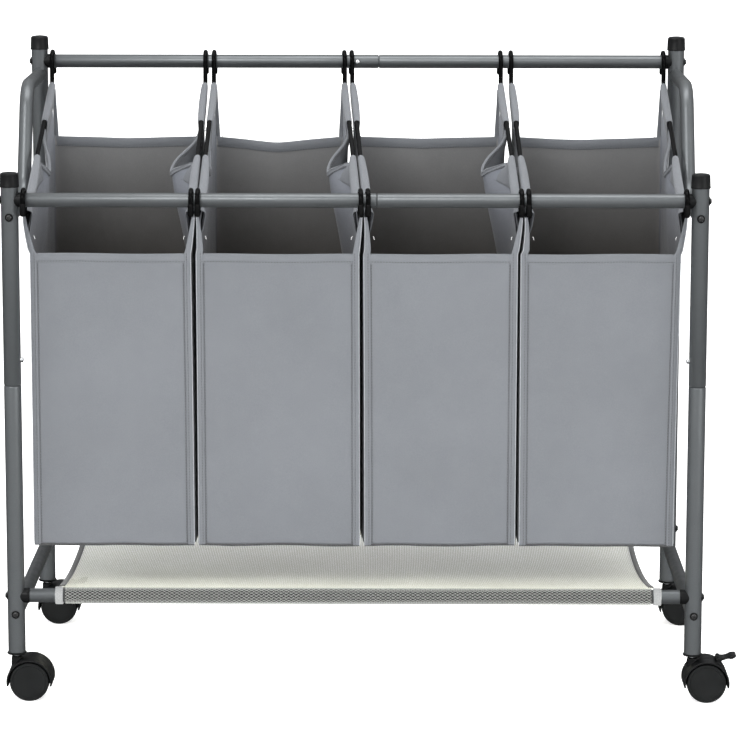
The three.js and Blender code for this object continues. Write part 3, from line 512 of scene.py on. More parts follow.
def stitches(build, path, normals, pitch=3.6 * MM, length=2.5 * MM, width=0.55 * MM, kind=0):
    """A run of short threads that dip into the cloth at both ends."""
    for point, along, at, share in resample(path, pitch):
        normal = normals[at].lerp(normals[min(at + 1, len(normals) - 1)], share).normalized()
        side = along.cross(normal).normalized() * (width / 2)
        rings = []
        for s, lift in ((-0.5, -0.15), (-0.3, 0.28), (0.3, 0.28), (0.5, -0.15)):
            here = point + along * (s * length) + normal * (lift * MM)
            rings.append([here - side, here + normal * (width * 0.5), here + side])
        build.add(rings, kind=kind)


def yarn_along(build, path, side, half, lift):
    """A flat yarn with a diamond section along a path."""
    rings = []
    for point, _, u, v in path_frames(path, side):
        rings.append([point - u * half, point + v * lift, point + u * half, point - v * lift])
    build.add(rings)


def clamp(value):
    return min(max(value, 0.0), 1.0)


def smooth(low, high, value):
    t = clamp((value - low) / (high - low))
    return t * t * (3 - 2 * t)


# ---- Camera and studio -------------------------------------------------------------------------


def add_camera():
    """The place, angles and lens were fitted to the photograph's posts, rails and wheels."""
    yaw, pitch, roll = -0.0054, 0.1736, 0.0014
    flat = math.cos(pitch)
    forward = Vector((math.sin(yaw) * flat, math.cos(yaw) * flat, -math.sin(pitch)))
    level = Vector((math.cos(yaw), -math.sin(yaw), 0))
    above = level.cross(forward)
    right = level * math.cos(roll) + above * math.sin(roll)
    up = above * math.cos(roll) - level * math.sin(roll)
    data = bpy.data.cameras.new("camera")
    data.lens = 167.09
    data.sensor_width = 36
    data.clip_end = 100
    camera = link_object("camera", data)
    turn = Matrix((right, up, -forward)).transposed().to_4x4()
    camera.matrix_world = Matrix.Translation((0.0182, -4.4214, 1.168)) @ turn
    bpy.context.scene.camera = camera


def add_light(name, place, target, size, watts):
    data = bpy.data.lights.new(name, "AREA")
    data.shape = "RECTANGLE"
    data.size, data.size_y = size
    data.energy = watts
    turn = (Vector(place) - Vector(target)).to_track_quat("Z", "Y").to_matrix().to_4x4()
    link_object(name, data).matrix_world = Matrix.Translation(place) @ turn


def add_studio():
    """A round white sweep. Shiny surfaces mirror the sky instead, which is dark near the ground."""
    sweep = Build()
    profile = [(0.001, 0), (3, 0), (SWEEP_RADIUS - SWEEP_CURVE, 0)]
    for c, s in quarter(12, 1):
        profile.append((SWEEP_RADIUS - SWEEP_CURVE * (1 - s), SWEEP_CURVE * (1 - c)))
    profile.append((SWEEP_RADIUS, SWEEP_HEIGHT))
    turned(sweep, profile, Matrix.Identity(4), 96, closed=False)
    finish = Finish("studio_floor", (0.93, 0.93, 0.93), 0.9)
    finish.tint(finish.noise(3, 2), 0.3, 0.7, 0.99, 1.0)
    finish.shader.inputs["Emission Color"].default_value = (1, 1, 1, 1)
    finish.shader.inputs["Emission Strength"].default_value = 0.55
    mesh = bpy.data.meshes.new("studio_floor")
    mesh.from_pydata([tuple(p) for p in sweep.points], [], sweep.faces)
    mesh.materials.append(finish.material)
    mesh.polygons.foreach_set("use_smooth", [True] * len(mesh.polygons))
    piece = link_object("studio_floor", mesh)
    piece.visible_glossy = False
    world = bpy.data.worlds.new("studio")
    world.use_nodes = True
    tree = world.node_tree
    sky = tree.nodes["Background"]
    sky.inputs["Color"].default_value = (0.97, 0.985, 1, 1)
    parts = add_node(tree, "SeparateXYZ", Vector=add_node(tree, "TexCoord").outputs["Generated"])
    # It is brightest above and in front, so that the round tubes have dark edges.
    ahead = add_node(tree, "Math")
    ahead.operation = "MULTIPLY_ADD"
    tree.links.new(parts.outputs["Y"], ahead.inputs[0])
    ahead.inputs[1].default_value = -0.6
    tree.links.new(parts.outputs["Z"], ahead.inputs[2])
    limits = {"From_Min": -0.5, "From_Max": 0.45, "To_Min": 0.08, "To_Max": 0.93}
    rise = add_node(tree, "MapRange", Value=ahead.outputs[0], **limits)
    tree.links.new(rise.outputs["Result"], sky.inputs["Strength"])
    bpy.context.scene.world = world
    add_light("key", (-1.6, -3.4, 3.0), (0, 0, 0.4), (2.2, 1.6), 82)
    add_light("fill", (2.6, -2.6, 1.6), (0, 0, 0.4), (1.6, 1.8), 30)
    add_light("top", (0, -0.2, 3.0), (0, 0, 0), (2.6, 1.4), 47)
    bpy.context.scene.view_settings.view_transform = "Standard"


# ---- Frame -------------------------------------------------------------------------------------


def drill(piece, point, direction, radius, reach):
    """Bores a hole for a snap button through one wall."""
    cutter = Build()
    turned(cutter, plug_profile(radius, reach), facing(point, direction), 24)
    tool = link_object("cutter", cutter.mesh("cutter"))
    cut = piece.modifiers.new("hole", "BOOLEAN")
    cut.object = tool
    cut.operation = "DIFFERENCE"
    cut.solver = "EXACT"
    apply_modifiers(piece)
    bpy.data.objects.remove(tool)


def plug_profile(radius, length):
    return [(0, 0), (radius, 0), (radius, length), (0, length)]


def neck_profile(radius, start, shoulder, neck_end):
    """Outline of a tube with a neck: start and shoulder are the full tube's ends."""
    neck = radius - TUBE_WALL - 0.3 * MM
    return [
        (radius - TUBE_WALL, start),
        (radius - 0.3 * MM, start),
        (radius, start + 0.3 * MM),
        (radius, shoulder - 1.8 * MM),
        (radius - 0.25 * MM, shoulder - 1.0 * MM),
        (radius - 0.9 * MM, shoulder - 0.3 * MM),
        (neck, shoulder),
        (neck, neck_end - 0.8 * MM),
        (neck - 0.5 * MM, neck_end),
        (neck - TUBE_WALL, neck_end),
        (neck - TUBE_WALL, shoulder - TUBE_WALL),
        (radius - TUBE_WALL, shoulder - 6 * MM),
    ]


def socket_profile(radius, low, high):
    return [
        (radius - TUBE_WALL, low),
        (radius - 0.45 * MM, low),
        (radius, low + 0.6 * MM),
        (radius, high - 0.3 * MM),
        (radius - 0.3 * MM, high),
        (radius - TUBE_WALL, high),
    ]


def add_button(name, body, tube_radius, point, direction):
    """A domed pin with a flange that bears on the neck's inner wall."""
    neck_inner = tube_radius - 2 * TUBE_WALL - 0.6 * MM
    pin, flange, dome = 3.3 * MM, 4.5 * MM, 1.7 * MM
    seat = math.sqrt(neck_inner**2 - flange**2)
    top = tube_radius + 3.6 * MM
    button = Build()
    profile = [(0, seat - 1.2 * MM), (flange, seat - 1.2 * MM), (flange, seat), (pin, seat)]
    profile.append((pin, top - dome))
    profile += [(pin * c**0.8, top - dome * (1 - s)) for c, s in quarter(7, 1)]
    turned(button, profile, facing(point, direction), 32)
    button.piece(name, body, BRIGHT, (name,), "bright_steel")


def add_steel(build, node):
    return build.piece(node, "root", STEEL, (node,), "frame_steel")


def add_posts():
    for corner in CORNERS:
        axis = POSTS[corner]
        place = Matrix.Translation((axis.x, axis.y, 0))
        inward = X if corner.endswith("left") else -X
        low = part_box(f"{corner}_post_lower")[0].z
        seam, top = (side.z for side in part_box(f"{corner}_post_upper"))
        button_at = Vector((axis.x, axis.y, centre(f"{corner}_post_button").z))
        lower, upper = Build(), Build()
        turned(lower, neck_profile(POST_RADIUS, low, seam - 0.3 * MM, seam + POST_NECK), place)
        turned(upper, socket_profile(POST_RADIUS, seam, top), place)
        for build, name in ((lower, "post_lower"), (upper, "post_upper")):
            post = add_steel(build, f"{corner}_{name}")
            drill(post, button_at, inward, BUTTON_HOLE, 16 * MM)
        add_button(f"{corner}_post_button", f"{corner}_button", POST_RADIUS, button_at, inward)
        add_cap(f"{corner}_cap", place)
        add_socket(f"{corner}_caster_socket", place)


def add_cap(node, place):
    low, high = (side.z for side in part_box(node))
    skirt = POST_RADIUS + 1.4 * MM
    bore = POST_RADIUS + 0.3 * MM
    crown = high - 4 * MM
    cap = Build()
    profile = [
        (bore, low),
        (skirt - 0.3 * MM, low),
        (skirt, low + 0.3 * MM),
        (skirt, low + 1.6 * MM),
        (skirt - 0.25 * MM, low + 2.0 * MM),
        (skirt - 0.75 * MM, high - 4.2 * MM),
    ]
    reach, edge = skirt - 0.75 * MM, 3.1 * MM
    for c, s in quarter(8, 1):
        profile.append((reach - edge + edge * c, high - 4.2 * MM + 3.2 * MM * s))
    profile += [(4 * MM, high - 0.35 * MM), (0, high), (0, crown), (bore, crown)]
    turned(cap, profile, place, 56)
    cap.piece(node, "root", PLASTIC, (node,), "black_plastic")


def add_socket(node, place):
    low, high = (side.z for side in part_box(node))
    bore, plug = 4.4 * MM, POST_RADIUS - 1.5 * MM
    lip = POST_RADIUS + 1.6 * MM
    lip_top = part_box(node.replace("caster_socket", "post_lower"))[0].z - 0.3 * MM
    socket = Build()
    profile = [
        (bore, low + 0.2 * MM),
        (lip - 1.9 * MM, low),
        (lip - 0.7 * MM, low + 0.4 * MM),
        (lip, lip_top - 0.9 * MM),
        (lip - 0.3 * MM, lip_top - 0.2 * MM),
        (lip - 1.0 * MM, lip_top),
        (plug, lip_top),
        (plug, high),
        (bore, high),
    ]
    turned(socket, profile, place)
    socket.piece(node, "root", PLASTIC, (node,), "black_plastic")


def add_top_rail(name, y, z, toward):
    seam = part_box(f"{name}_rail_left")[1].x
    button_at = Vector((centre(f"{name}_rail_button").x, y, z))
    start = LEFT_X + POST_RADIUS + COLLAR_LENGTH
    end = RIGHT_X - POST_RADIUS - COLLAR_LENGTH
    to_right = facing(Vector((0, y, z)), X)
    to_left = facing(Vector((0, y, z)), -X)
    left, right = Build(), Build()
    turned(left, socket_profile(RAIL_RADIUS, start, seam), to_right, 40)
    profile = neck_profile(RAIL_RADIUS, -end, -seam - 0.3 * MM, -seam + RAIL_NECK)
    turned(right, profile, to_left, 40)
    for build, half in ((left, "left"), (right, "right")):
        rail = add_steel(build, f"{name}_rail_{half}")
        drill(rail, button_at, toward, BUTTON_HOLE, 14 * MM)
    add_button(f"{name}_rail_button", f"{name}_rail_button", RAIL_RADIUS, button_at, toward)


def add_collars():
    """Black end pieces: flat to the rail, saddle-shaped to the post."""
    collars = Build()
    front = ((FRONT_Y, FRONT_RAIL_Z), (FRONT_Y, BOTTOM_RAIL_Z))
    back = ((BACK_Y, BACK_RAIL_Z), (BACK_Y, BOTTOM_RAIL_Z))
    for y, z in front + back:
        for x, way in ((LEFT_X, 1), (RIGHT_X, -1)):
            axis, along = Vector((x, y, 0)), Vector((way, 0, 0))
            outer_end = Vector((x + way * (POST_RADIUS + COLLAR_LENGTH), y, z))
            start = [
                p - along * (COLLAR_LENGTH + 2 * MM) for p in circle(outer_end, Y, Z, 9.3 * MM, 40)
            ]
            rings = [[coped(p, along, axis, POST_RADIUS + 0.1 * MM) for p in start]]
            for inset, radius in ((3.2, 9.75), (0.9, 9.75), (0.15, 9.3), (0, 8.0)):
                rings.append(circle(outer_end - along * (inset * MM), Y, Z, radius * MM, 40))
            collars.add(rings)
    collars.piece("rail_end_collars", "root", PLASTIC, (), "black_plastic")


def add_bottom_rails():
    for name, y in (("front", FRONT_Y), ("back", BACK_Y)):
        start = LEFT_X + POST_RADIUS + COLLAR_LENGTH
        end = RIGHT_X - POST_RADIUS - COLLAR_LENGTH
        rail = Build()
        place = facing(Vector((0, y, BOTTOM_RAIL_Z)), X)
        turned(rail, socket_profile(RAIL_RADIUS, start, end), place, 40)
        add_steel(rail, f"{name}_bottom_rail")


def add_side_tubes():
    clear = POST_RADIUS + 0.15 * MM
    for name, x in (("left", LEFT_X), ("right", RIGHT_X)):
        front, back = Vector((x, FRONT_Y, 0)), Vector((x, BACK_Y, 0))
        copes = ((front, clear), (back, clear))
        lower = Build()
        path = [
            Vector((x, FRONT_Y + TUBE_REACH, LOWER_SIDE_Z)),
            Vector((x, BACK_Y - TUBE_REACH, LOWER_SIDE_Z)),
        ]
        pipe(lower, path, RAIL_RADIUS, TUBE_WALL, side=X, copes=copes)
        add_steel(lower, f"{name}_lower_side")
        corners = [
            Vector((x, FRONT_Y + TUBE_REACH, SIDE_LOW_Z)),
            Vector((x, FRONT_Y + SIDE_BENDS[0], SIDE_LOW_Z)),
            Vector((x, FRONT_Y + SIDE_BENDS[1], SIDE_HIGH_Z)),
            Vector((x, BACK_Y - TUBE_REACH, SIDE_HIGH_Z)),
        ]
        upper = Build()
        path = rounded_path(corners, SIDE_BEND_RADIUS, 18)
        pipe(upper, path, RAIL_RADIUS, TUBE_WALL, side=X, copes=copes)
        add_steel(upper, f"{name}_upper_side")


def add_bolts():
    """Button-head bolts on saddle washers, at the rails' and side tubes' ends."""
    bolts, washers = Build(), Build()
    for corner in CORNERS:
        axis = POSTS[corner]
        front = corner.startswith("front")
        outward = Vector((-1 if corner.endswith("left") else 1, 0, 0))
        away = Vector((0, -1 if front else 1, 0))
        rail_z = FRONT_RAIL_Z if front else BACK_RAIL_Z
        side_z = SIDE_LOW_Z if front else SIDE_HIGH_Z
        spots = ((rail_z, outward), (BOTTOM_RAIL_Z, outward), (side_z, away), (LOWER_SIDE_Z, away))
        for z, way in spots:
            add_bolt(bolts, washers, Vector((axis.x, axis.y, z)) + way * POST_RADIUS, way)
    bolts.piece("bolts", "root", BOLT, (), "black_plastic", angle=30)
    washers.piece("bolt_washers", "root", PLASTIC, (), "black_plastic")


def add_bolt(bolts, washers, point, way):
    place = facing(point, way)
    rings = []
    for radius, height in ((2.3, -0.2), (5.3, -0.2), (5.3, 0.45), (4.9, 0.8), (2.3, 0.8)):
        ring = circle(Z * (height * MM), X, Y, radius * MM, 36)
        if height <= 0.45:
            # The washer's underside and rim follow the post's curve.
            for p in ring:
                p.z -= POST_RADIUS - math.sqrt(POST_RADIUS**2 - p.x**2)
        rings.append([place @ p for p in ring])
    washers.add(rings, loop=True, caps=False)
    profile = [(0, 0.5), (3.6, 0.5), (3.75, 0.9), (3.6, 1.6), (3.1, 2.3), (2.4, 2.75), (2.05, 2.8)]
    rings = [circle(Z * (h * MM), X, Y, r * MM, 36) for r, h in profile]
    for depth in (2.8, 1.2):
        # The hexagonal key hole.
        hexagon = []
        for i in range(36):
            angle = 2 * math.pi * i / 36
            inside = (angle % (math.pi / 3)) - math.pi / 6
            reach = 1.55 * MM / math.cos(inside)
            hexagon.append(Vector((reach * math.cos(angle), reach * math.sin(angle), depth * MM)))
        rings.append(hexagon)
    rings.append([Vector((0, 0, 1.2 * MM))] * 36)
    bolts.add([[place @ p for p in ring] for ring in rings], caps=False)


# ---- Casters -----------------------------------------------------------------------------------

BRAKE_PIVOT = Vector((CASTER_TRAIL + 16 * MM, 0, 53.63 * MM))


def hood_outline():
    """Half the hood's section as (distance from the axle, place along it), round at its edge."""
    edge = 1.1 * MM
    outline = [(HOOD_RADIUS - edge + edge * c, HOOD_HALF - edge + edge * s) for c, s in quarter(6)]
    return outline + [(HOOD_INNER, HOOD_HALF)]


def hood_mesh(has_brake):
    """Hood, web and neck fused into one moulding about the stem's axis."""
    build = Build()
    axle = Vector((CASTER_TRAIL, 0, WHEEL_RADIUS))

    def at(radius, y, angle):
        return axle + Vector((-radius * math.cos(angle), y, radius * math.sin(angle)))

    outline = hood_outline()
    section = [(r, -y) for r, y in outline] + outline[::-1]
    tip = math.asin(5.5 * MM / HOOD_RADIUS)
    angles = [-tip + (math.pi + 2 * tip) * i / 60 for i in range(61)]
    build.add([[at(r, y, a) for r, y in section] for a in angles])
    half_web = 3.4 * MM
    lowest = WHEEL_RADIUS - 4 * MM
    rim = [at(HOOD_INNER + 1 * MM, 0, a) for a in angles if at(HOOD_INNER, 0, a).z > lowest]
    build.add([[p + Y * y for p in rim] for y in (-half_web, half_web)])
    hub = facing(axle - Vector((0, half_web, 0)), Y)
    turned(build, plug_profile(8 * MM, 2 * half_web), hub, 32)
    neck = [(0, 32), (7.4, 32), (7.4, 46), (7.2, 53), (6.6, 54.4), (5.4, 55), (0, 55)]
    turned(build, [(r * MM, z * MM) for r, z in neck], Matrix.Identity(4), 40)
    if has_brake:
        for side in (-1, 1):
            middle = BRAKE_PIVOT + Vector((0, side * 13 * MM, 0))
            ear = facing(middle - Vector((0, 1.5 * MM, 0)), Y)
            turned(build, plug_profile(3.1 * MM, 3 * MM), ear, 24)
            block = []
            x, y = BRAKE_PIVOT.x, middle.y
            for z in (BRAKE_PIVOT.z, 46 * MM):
                signs = ((-1, -1), (1, -1), (1, 1), (-1, 1))
                block.append([Vector((x + i * 3.0 * MM, y + j * 1.5 * MM, z)) for i, j in signs])
            build.add(block)
    shape = link_object("hood", build.mesh("hood"))
    remesh = shape.modifiers.new("remesh", "REMESH")
    remesh.mode = "VOXEL"
    remesh.voxel_size = 0.75 * MM
    soften = shape.modifiers.new("soften", "SMOOTH")
    soften.factor = 0.5
    soften.iterations = 3
    thin = shape.modifiers.new("thin", "DECIMATE")
    thin.ratio = 0.3
    apply_modifiers(shape, 50)
    mesh = shape.data
    bpy.data.objects.remove(shape)
    return mesh


def wheel_build(place):
    """A plain-faced wheel about Z with its inner face at Z = 0."""
    wheel = Build()
    width, radius, edge = 17 * MM, WHEEL_RADIUS, 2.4 * MM
    bore = 3.35 * MM
    profile = [(bore, 0), (radius - edge, 0)]
    profile += [(radius - edge * (1 - s), edge * (1 - c)) for c, s in quarter(6, 1)]
    profile += [(radius - edge * (1 - c), width - edge * (1 - s)) for c, s in quarter(6)]
    profile += [
        (radius - 3.2 * MM, width),
        (radius - 3.5 * MM, width - 0.45 * MM),
        (radius - 4.0 * MM, width - 0.45 * MM),
        (radius - 4.4 * MM, width - 0.05 * MM),
        (10 * MM, width + 0.1 * MM),
        (0, width + 0.15 * MM),
        (0, width - 3 * MM),
        (bore, width - 3 * MM),
    ]
    turned(wheel, profile, place, 72)
    return wheel


def add_lever(corner, base):
    """A brake pedal: a barrel on its pin, a rising arm and a thicker flat tip."""
    lever = Build()
    pivot = base + BRAKE_PIVOT
    spine = (
        (-3.2, 0.0, 1.0, 8.5),
        (-2.6, 0.0, 2.6, 9.6),
        (0.0, 0.0, 3.3, 10.0),
        (2.6, 0.5, 2.8, 10.0),
        (6.0, 1.1, 1.9, 9.6),
        (10.0, 2.2, 1.8, 9.4),
        (13.0, 3.1, 2.0, 10.2),
        (14.6, 3.2, 2.9, 10.9),
        (17.5, 3.8, 2.9, 11.0),
        (20.3, 4.6, 2.1, 11.0),
        (21.6, 5.0, 1.3, 10.6),
        (22.0, 5.1, 0.6, 10.2),
    )
    rings = []
    for x, z, half_high, half_wide in spine:
        ring = []
        for i in range(24):
            angle = 2 * math.pi * (i + 0.5) / 24
            power = 0.45
            c, s = math.cos(angle), math.sin(angle)
            y = math.copysign(abs(c) ** power, c) * half_wide
            h = math.copysign(abs(s) ** power, s) * half_high
            ring.append(pivot + Vector((x, y, z + h)) * MM)
        rings.append(ring)
    lever.add(rings)
    node = f"{corner}_brake_lever"
    lever.piece(node, f"{corner}_brake", PLASTIC, (node,), "black_plastic", angle=60)


def add_casters():
    hoods = {has: hood_mesh(has) for has in (False, True)}
    for corner in CORNERS:
        base = Vector((POSTS[corner].x, POSTS[corner].y, 0))
        has_brake = corner in BRAKED
        mesh = hoods[has_brake].copy()
        mesh.transform(Matrix.Translation(base))
        mesh.materials.clear()
        mesh.materials.append(PLASTIC)
        node = f"{corner}_caster_housing"
        register(node, mesh, f"{corner}_caster", (node,), 50)
        stem = Build()
        profile = [(0, 50), (4.0, 50), (4.0, 55.4), (5.6, 55.6), (5.6, 56.6), (4.0, 56.8)]
        profile += [(4.0, 88.5), (3.0, 89.8), (0, 90)]
        turned(stem, [(r * MM, z * MM) for r, z in profile], Matrix.Translation(base), 32)
        stem.piece(f"{corner}_caster_stem", f"{corner}_caster", BRIGHT, (), "bright_steel")
        axle = Build()
        middle = base + Vector((CASTER_TRAIL, 0, WHEEL_RADIUS))
        reach = 17.5 * MM
        place = facing(middle - Vector((0, reach, 0)), Y)
        turned(axle, plug_profile(3 * MM, 2 * reach), place, 24)
        axle.piece(f"{corner}_caster_axle", f"{corner}_caster", BRIGHT, (), "bright_steel")
        for side, way in (("near", -1), ("far", 1)):
            place = facing(middle + Vector((0, way * 4.6 * MM, 0)), Vector((0, way, 0)))
            node = f"{corner}_wheel_{side}"
            wheel_build(place).piece(node, node, WHEEL, (node,), "wheel_plastic", angle=28)
        if has_brake:
            add_lever(corner, base)


# ---- Mesh shelf --------------------------------------------------------------------------------


def add_net(left, right):
    """The sleeves round the bottom rails: two crossing sets of yarns over a dark sheet of painted
    shade, which stands for the shaded rail seen through the holes.
    """
    net = Build()
    wrap = RAIL_RADIUS + 0.95 * MM
    strands, pitch = NET_STRANDS, NET_PITCH
    slope = 2 * math.pi * wrap / (pitch * strands)
    half, lift = 0.21 * MM, 0.4 * MM
    start, end = left + 3 * MM, right - 3 * MM
    steps = int((end - start) / (pitch / 4))

    def yarn_ring(y, hand, strand, x):
        turns = (x - start) / (pitch * strands)
        # Each yarn runs straight past its crossings, which makes the holes six-sided.
        lean = 0.012 * math.sin(4 * math.pi * (x - start) / pitch)
        angle = 2 * math.pi * (hand * (turns + lean / 2) + strand / strands)
        phase = 2 * math.pi * (x - start) / pitch + math.pi * hand / 2
        radius = wrap + 0.22 * MM * math.cos(phase)
        u = Vector((0, math.cos(angle), math.sin(angle)))
        at = Vector((x, y, BOTTOM_RAIL_Z)) + u * radius
        around = Vector((0, -math.sin(angle), math.cos(angle)))
        side = u.cross((X + around * (hand * slope)).normalized())
        return [at - side * half, at + u * lift, at + side * half, at - u * lift]

    for y in (FRONT_Y, BACK_Y):
        for hand in (-1, 1):
            for strand in range(strands):
                places = (start + (end - start) * s / steps for s in range(steps + 1))
                net.add([yarn_ring(y, hand, strand, x) for x in places])
    # Painted shade: a near-black sheet under the yarns, where only the rail in shade would show.
    for y in (FRONT_Y, BACK_Y):
        shade_sheet = socket_profile(RAIL_RADIUS + 0.45 * MM, left + 1 * MM, right - 1 * MM)
        shade_sheet = [(max(r, RAIL_RADIUS + 0.12 * MM), z) for r, z in shade_sheet]
        turned(net, shade_sheet, facing(Vector((0, y, BOTTOM_RAIL_Z)), X), 36, kind=1)
    nets = [NET, NET_SHADE_SHEET]
    return net.piece("shelf_net_sleeves", "root", nets, (), "shelf_mesh", angle=60, merge=0)


def add_shelf():
    low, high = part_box("mesh_shelf")
    left, right = low.x, high.x
    top = RAIL_RADIUS + 1.5 * MM  # the mesh leaves the rails a little above their tops

    def edge(side, t):
        """The mesh's end at a share of the depth: it pulls in between the rails."""
        waist = 4 * t * (1 - t)
        if side < 0:
            return left + (2.5 * waist - 2.5 + 1.0 * t) * MM
        return right - (9 * waist**0.6 + 1.5 * t) * MM

    def height(t, x=0.0):
        wave = 0.5 * noise.noise(Vector((x * 7, t * 3, 0.3)))
        return BOTTOM_RAIL_Z + top - (SHELF_SAG - wave * MM * 3) * 4 * t * (1 - t)

    def woven(t, share, lift):
        a, b = edge(-1, t), edge(1, t)
        x = a + (b - a) * share
        return Vector((x, FRONT_Y + DEPTH * t, height(t, x) + lift * MM))

    shelf = Build()
    ribs = int((right - left) / RIB_PITCH)
    for c in range(ribs + 1):
        path = [woven(r / 24, c / ribs, 0) for r in range(25)]
        yarn_along(shelf, path, X, 0.8 * MM, 0.36 * MM)
    crossings = int(DEPTH / CROSSING_PITCH)
    for r in range(1, crossings):
        path = [woven(r / crossings, c / 72, -0.35) for c in range(73)]
        yarn_along(shelf, path, Y, 0.8 * MM, 0.18 * MM)
    piece = shelf.piece("mesh_shelf", "root", MESH, ("mesh_shelf",), "shelf_mesh", 60, merge=0)

    net_piece = add_net(left, right)
    trim = Build()
    for side in (-1, 1):
        path = [
            Vector((edge(side, t) + side * 0.3 * MM, FRONT_Y + DEPTH * t, height(t) + 0.5 * MM))
            for t in (i / 40 for i in range(1, 40))
        ]
        strip(trim, path, [X] * len(path), [Z] * len(path), 7.5 * MM, 2.4 * MM)
    tape = trim.piece("shelf_binding_tapes", "root", TAPE, (), "shelf_mesh", angle=60)

    bands = Build()
    profile = [(-4.9, 9.3), (-4.8, 10.9), (-3.9, 11.2), (0, 11.25)]
    profile += [(-x, radius) for x, radius in profile[2::-1]]
    for y in (FRONT_Y, BACK_Y):
        for x in (left - 4.9 * MM, right + 4.9 * MM):
            rings = []
            for dx, radius in profile:
                ring = circle(Vector((x + dx * MM, y, BOTTOM_RAIL_Z)), Y, Z, radius * MM, 36)
                rings.append([p + Vector((0.35 * MM * noise.noise(p * 90), 0, 0)) for p in ring])
            bands.add(rings, loop=True, caps=False)
    band = bands.piece("shelf_end_bands", "root", BAND, (), "shelf_mesh", angle=50)

    thread = Build()
    loose = ((0, 0, 0), (2, -1.5, -3), (5, -2.5, -5.5))
    loose += ((8, -1.5, -4.6), (11, -0.5, -2), (13, 0.5, 0))
    hang = Vector((-46 * MM, FRONT_Y - 4 * MM, BOTTOM_RAIL_Z - 9.5 * MM))
    pipe(thread, [hang + Vector(p) * MM for p in loose], 0.5 * MM, 0.3 * MM, 8, Y)
    loose_thread = thread.piece("shelf_loose_thread", "root", WHITE, (), "shelf_mesh")


# ---- Rods --------------------------------------------------------------------------------------


def rod_ends(node):
    """X of a rod at the front rail and at the back rail."""
    points = np.array([v.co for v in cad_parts[node].data.vertices])
    front = points[points[:, 1] < FRONT_Y - RAIL_RADIUS]
    back = points[points[:, 1] > BACK_Y + RAIL_RADIUS]
    return float(front[:, 0].mean()), float(back[:, 0].mean())


def rod_height(depth):
    front = FRONT_RAIL_Z - FRONT_ROD_DROP
    back = BACK_RAIL_Z - BACK_ROD_DROP
    return front + (back - front) * (depth - HOOK_RADIUS) / (DEPTH - 2 * HOOK_RADIUS)


def add_rod(node, body, ends):
    def at(depth, z):
        x = ends[0] + (ends[1] - ends[0]) * depth / DEPTH
        return Vector((x, FRONT_Y + depth, z))

    def hook(depth, z):
        r = HOOK_RADIUS
        angles = (math.pi * (1 - i / 16) for i in range(17))
        return [at(depth + r * math.cos(a), z + r * math.sin(a)) for a in angles]

    corners = [
        at(HOOK_RADIUS, FRONT_RAIL_Z),
        at(HOOK_RADIUS, FRONT_RAIL_Z - FRONT_ROD_DROP),
        at(DEPTH - HOOK_RADIUS, BACK_RAIL_Z - BACK_ROD_DROP),
        at(DEPTH - HOOK_RADIUS, BACK_RAIL_Z),
    ]
    run = rounded_path(corners, ROD_BEND, 8)
    front_tip = at(-HOOK_RADIUS, FRONT_RAIL_Z - FRONT_HOOK_DROP)
    back_tip = at(DEPTH + HOOK_RADIUS, BACK_RAIL_Z - BACK_HOOK_DROP)
    path = [front_tip] + hook(0, FRONT_RAIL_Z)[:-1] + run[:-1]
    path += hook(DEPTH, BACK_RAIL_Z) + [back_tip]
    frames = path_frames(path, X)
    rod = Build()
    rod.add([circle(p, u, v, ROD_RADIUS, 20) for p, _, u, v in frames])
    rod.piece(node, body, ROD, (node,), "black_rod")
    return front_tip, back_tip


def add_rod_tips(name, body, tips):
    """Dipped plastic ends on a bag's two rods."""
    dip = Build()
    for tip in tips:
        profile = [(ROD_RADIUS, 15.5), (3.45 * MM, 15), (3.75 * MM, 13.5), (3.75 * MM, 2.2)]
        profile += [(3.3 * MM, 0.6), (2.2 * MM, -0.3), (0, -0.6)]
        turned(dip, [(r, z * MM) for r, z in profile], Matrix.Translation(tip), 24)
    dip.piece(name, body, TIP, (), "black_rod")


# ---- Bags --------------------------------------------------------------------------------------

# For each bag, in millimetres: X of the front panel's edges from the middle between the posts, at
# its top and at its foot; how far each side bulges into the bag under the handle and swells outward
# low down; how far the back panel's top edge sags. Pairs are left and right.
BAG_FACTS = ("front", "foot", "bulge", "swell", "sag")
BAGS = (
    ((-407.4, -206.0), (-407.4, -203.8), (13, 35), (4.6, 4.2), 2.0),
    ((-199.2, 5.0), (-198.2, 6.0), (4, 31), (4.2, 3.1), 7.0),
    ((10.8, 203.7), (12.6, 203.2), (4, 36), (3.1, 4.2), 2.0),
    ((207.9, 408.2), (208.7, 404.2), (4, 11), (4.2, 4.6), 3.5),
)
MIDDLE_X = (LEFT_X + RIGHT_X) / 2
ROWS = 34
BOTTOM_EDGE = 0.006  # share of the height
CREASE = 0.48  # where the back panel's fold is, as a share of its width
CREASE_REACH = 0.26  # either side, as a share of its width
CREASE_DEPTH = 4.5 * MM
ROD_FADE = 75 * MM  # below the rod, where a side panel begins to turn towards it
# The slack's length on each side of its peak, at the rod and what is added lower down.
SLACK_AHEAD = (17 * MM, 24 * MM)
SLACK_BEHIND = (47 * MM, 8 * MM)
SLACK_FADE = 125 * MM  # how far down the slack dies away
MOUTH = 0.1  # share of the front sleeve's length that its open mouth takes
MOUTH_GAPE = 0.9  # of its inner side, as a share of the sleeve's radius
HUMPS = (0.65, 0.3)  # of the front and back sleeves' inner sides, as shares of their radius
CLOTH = 0.9 * MM
FRONT_COLUMNS = 22
SIDE_COLUMNS = (18, 18, 14)  # before, under and behind the handle
RIM_ROWS = 3
FLAP_ROWS = 6
ARC_ROWS = 6


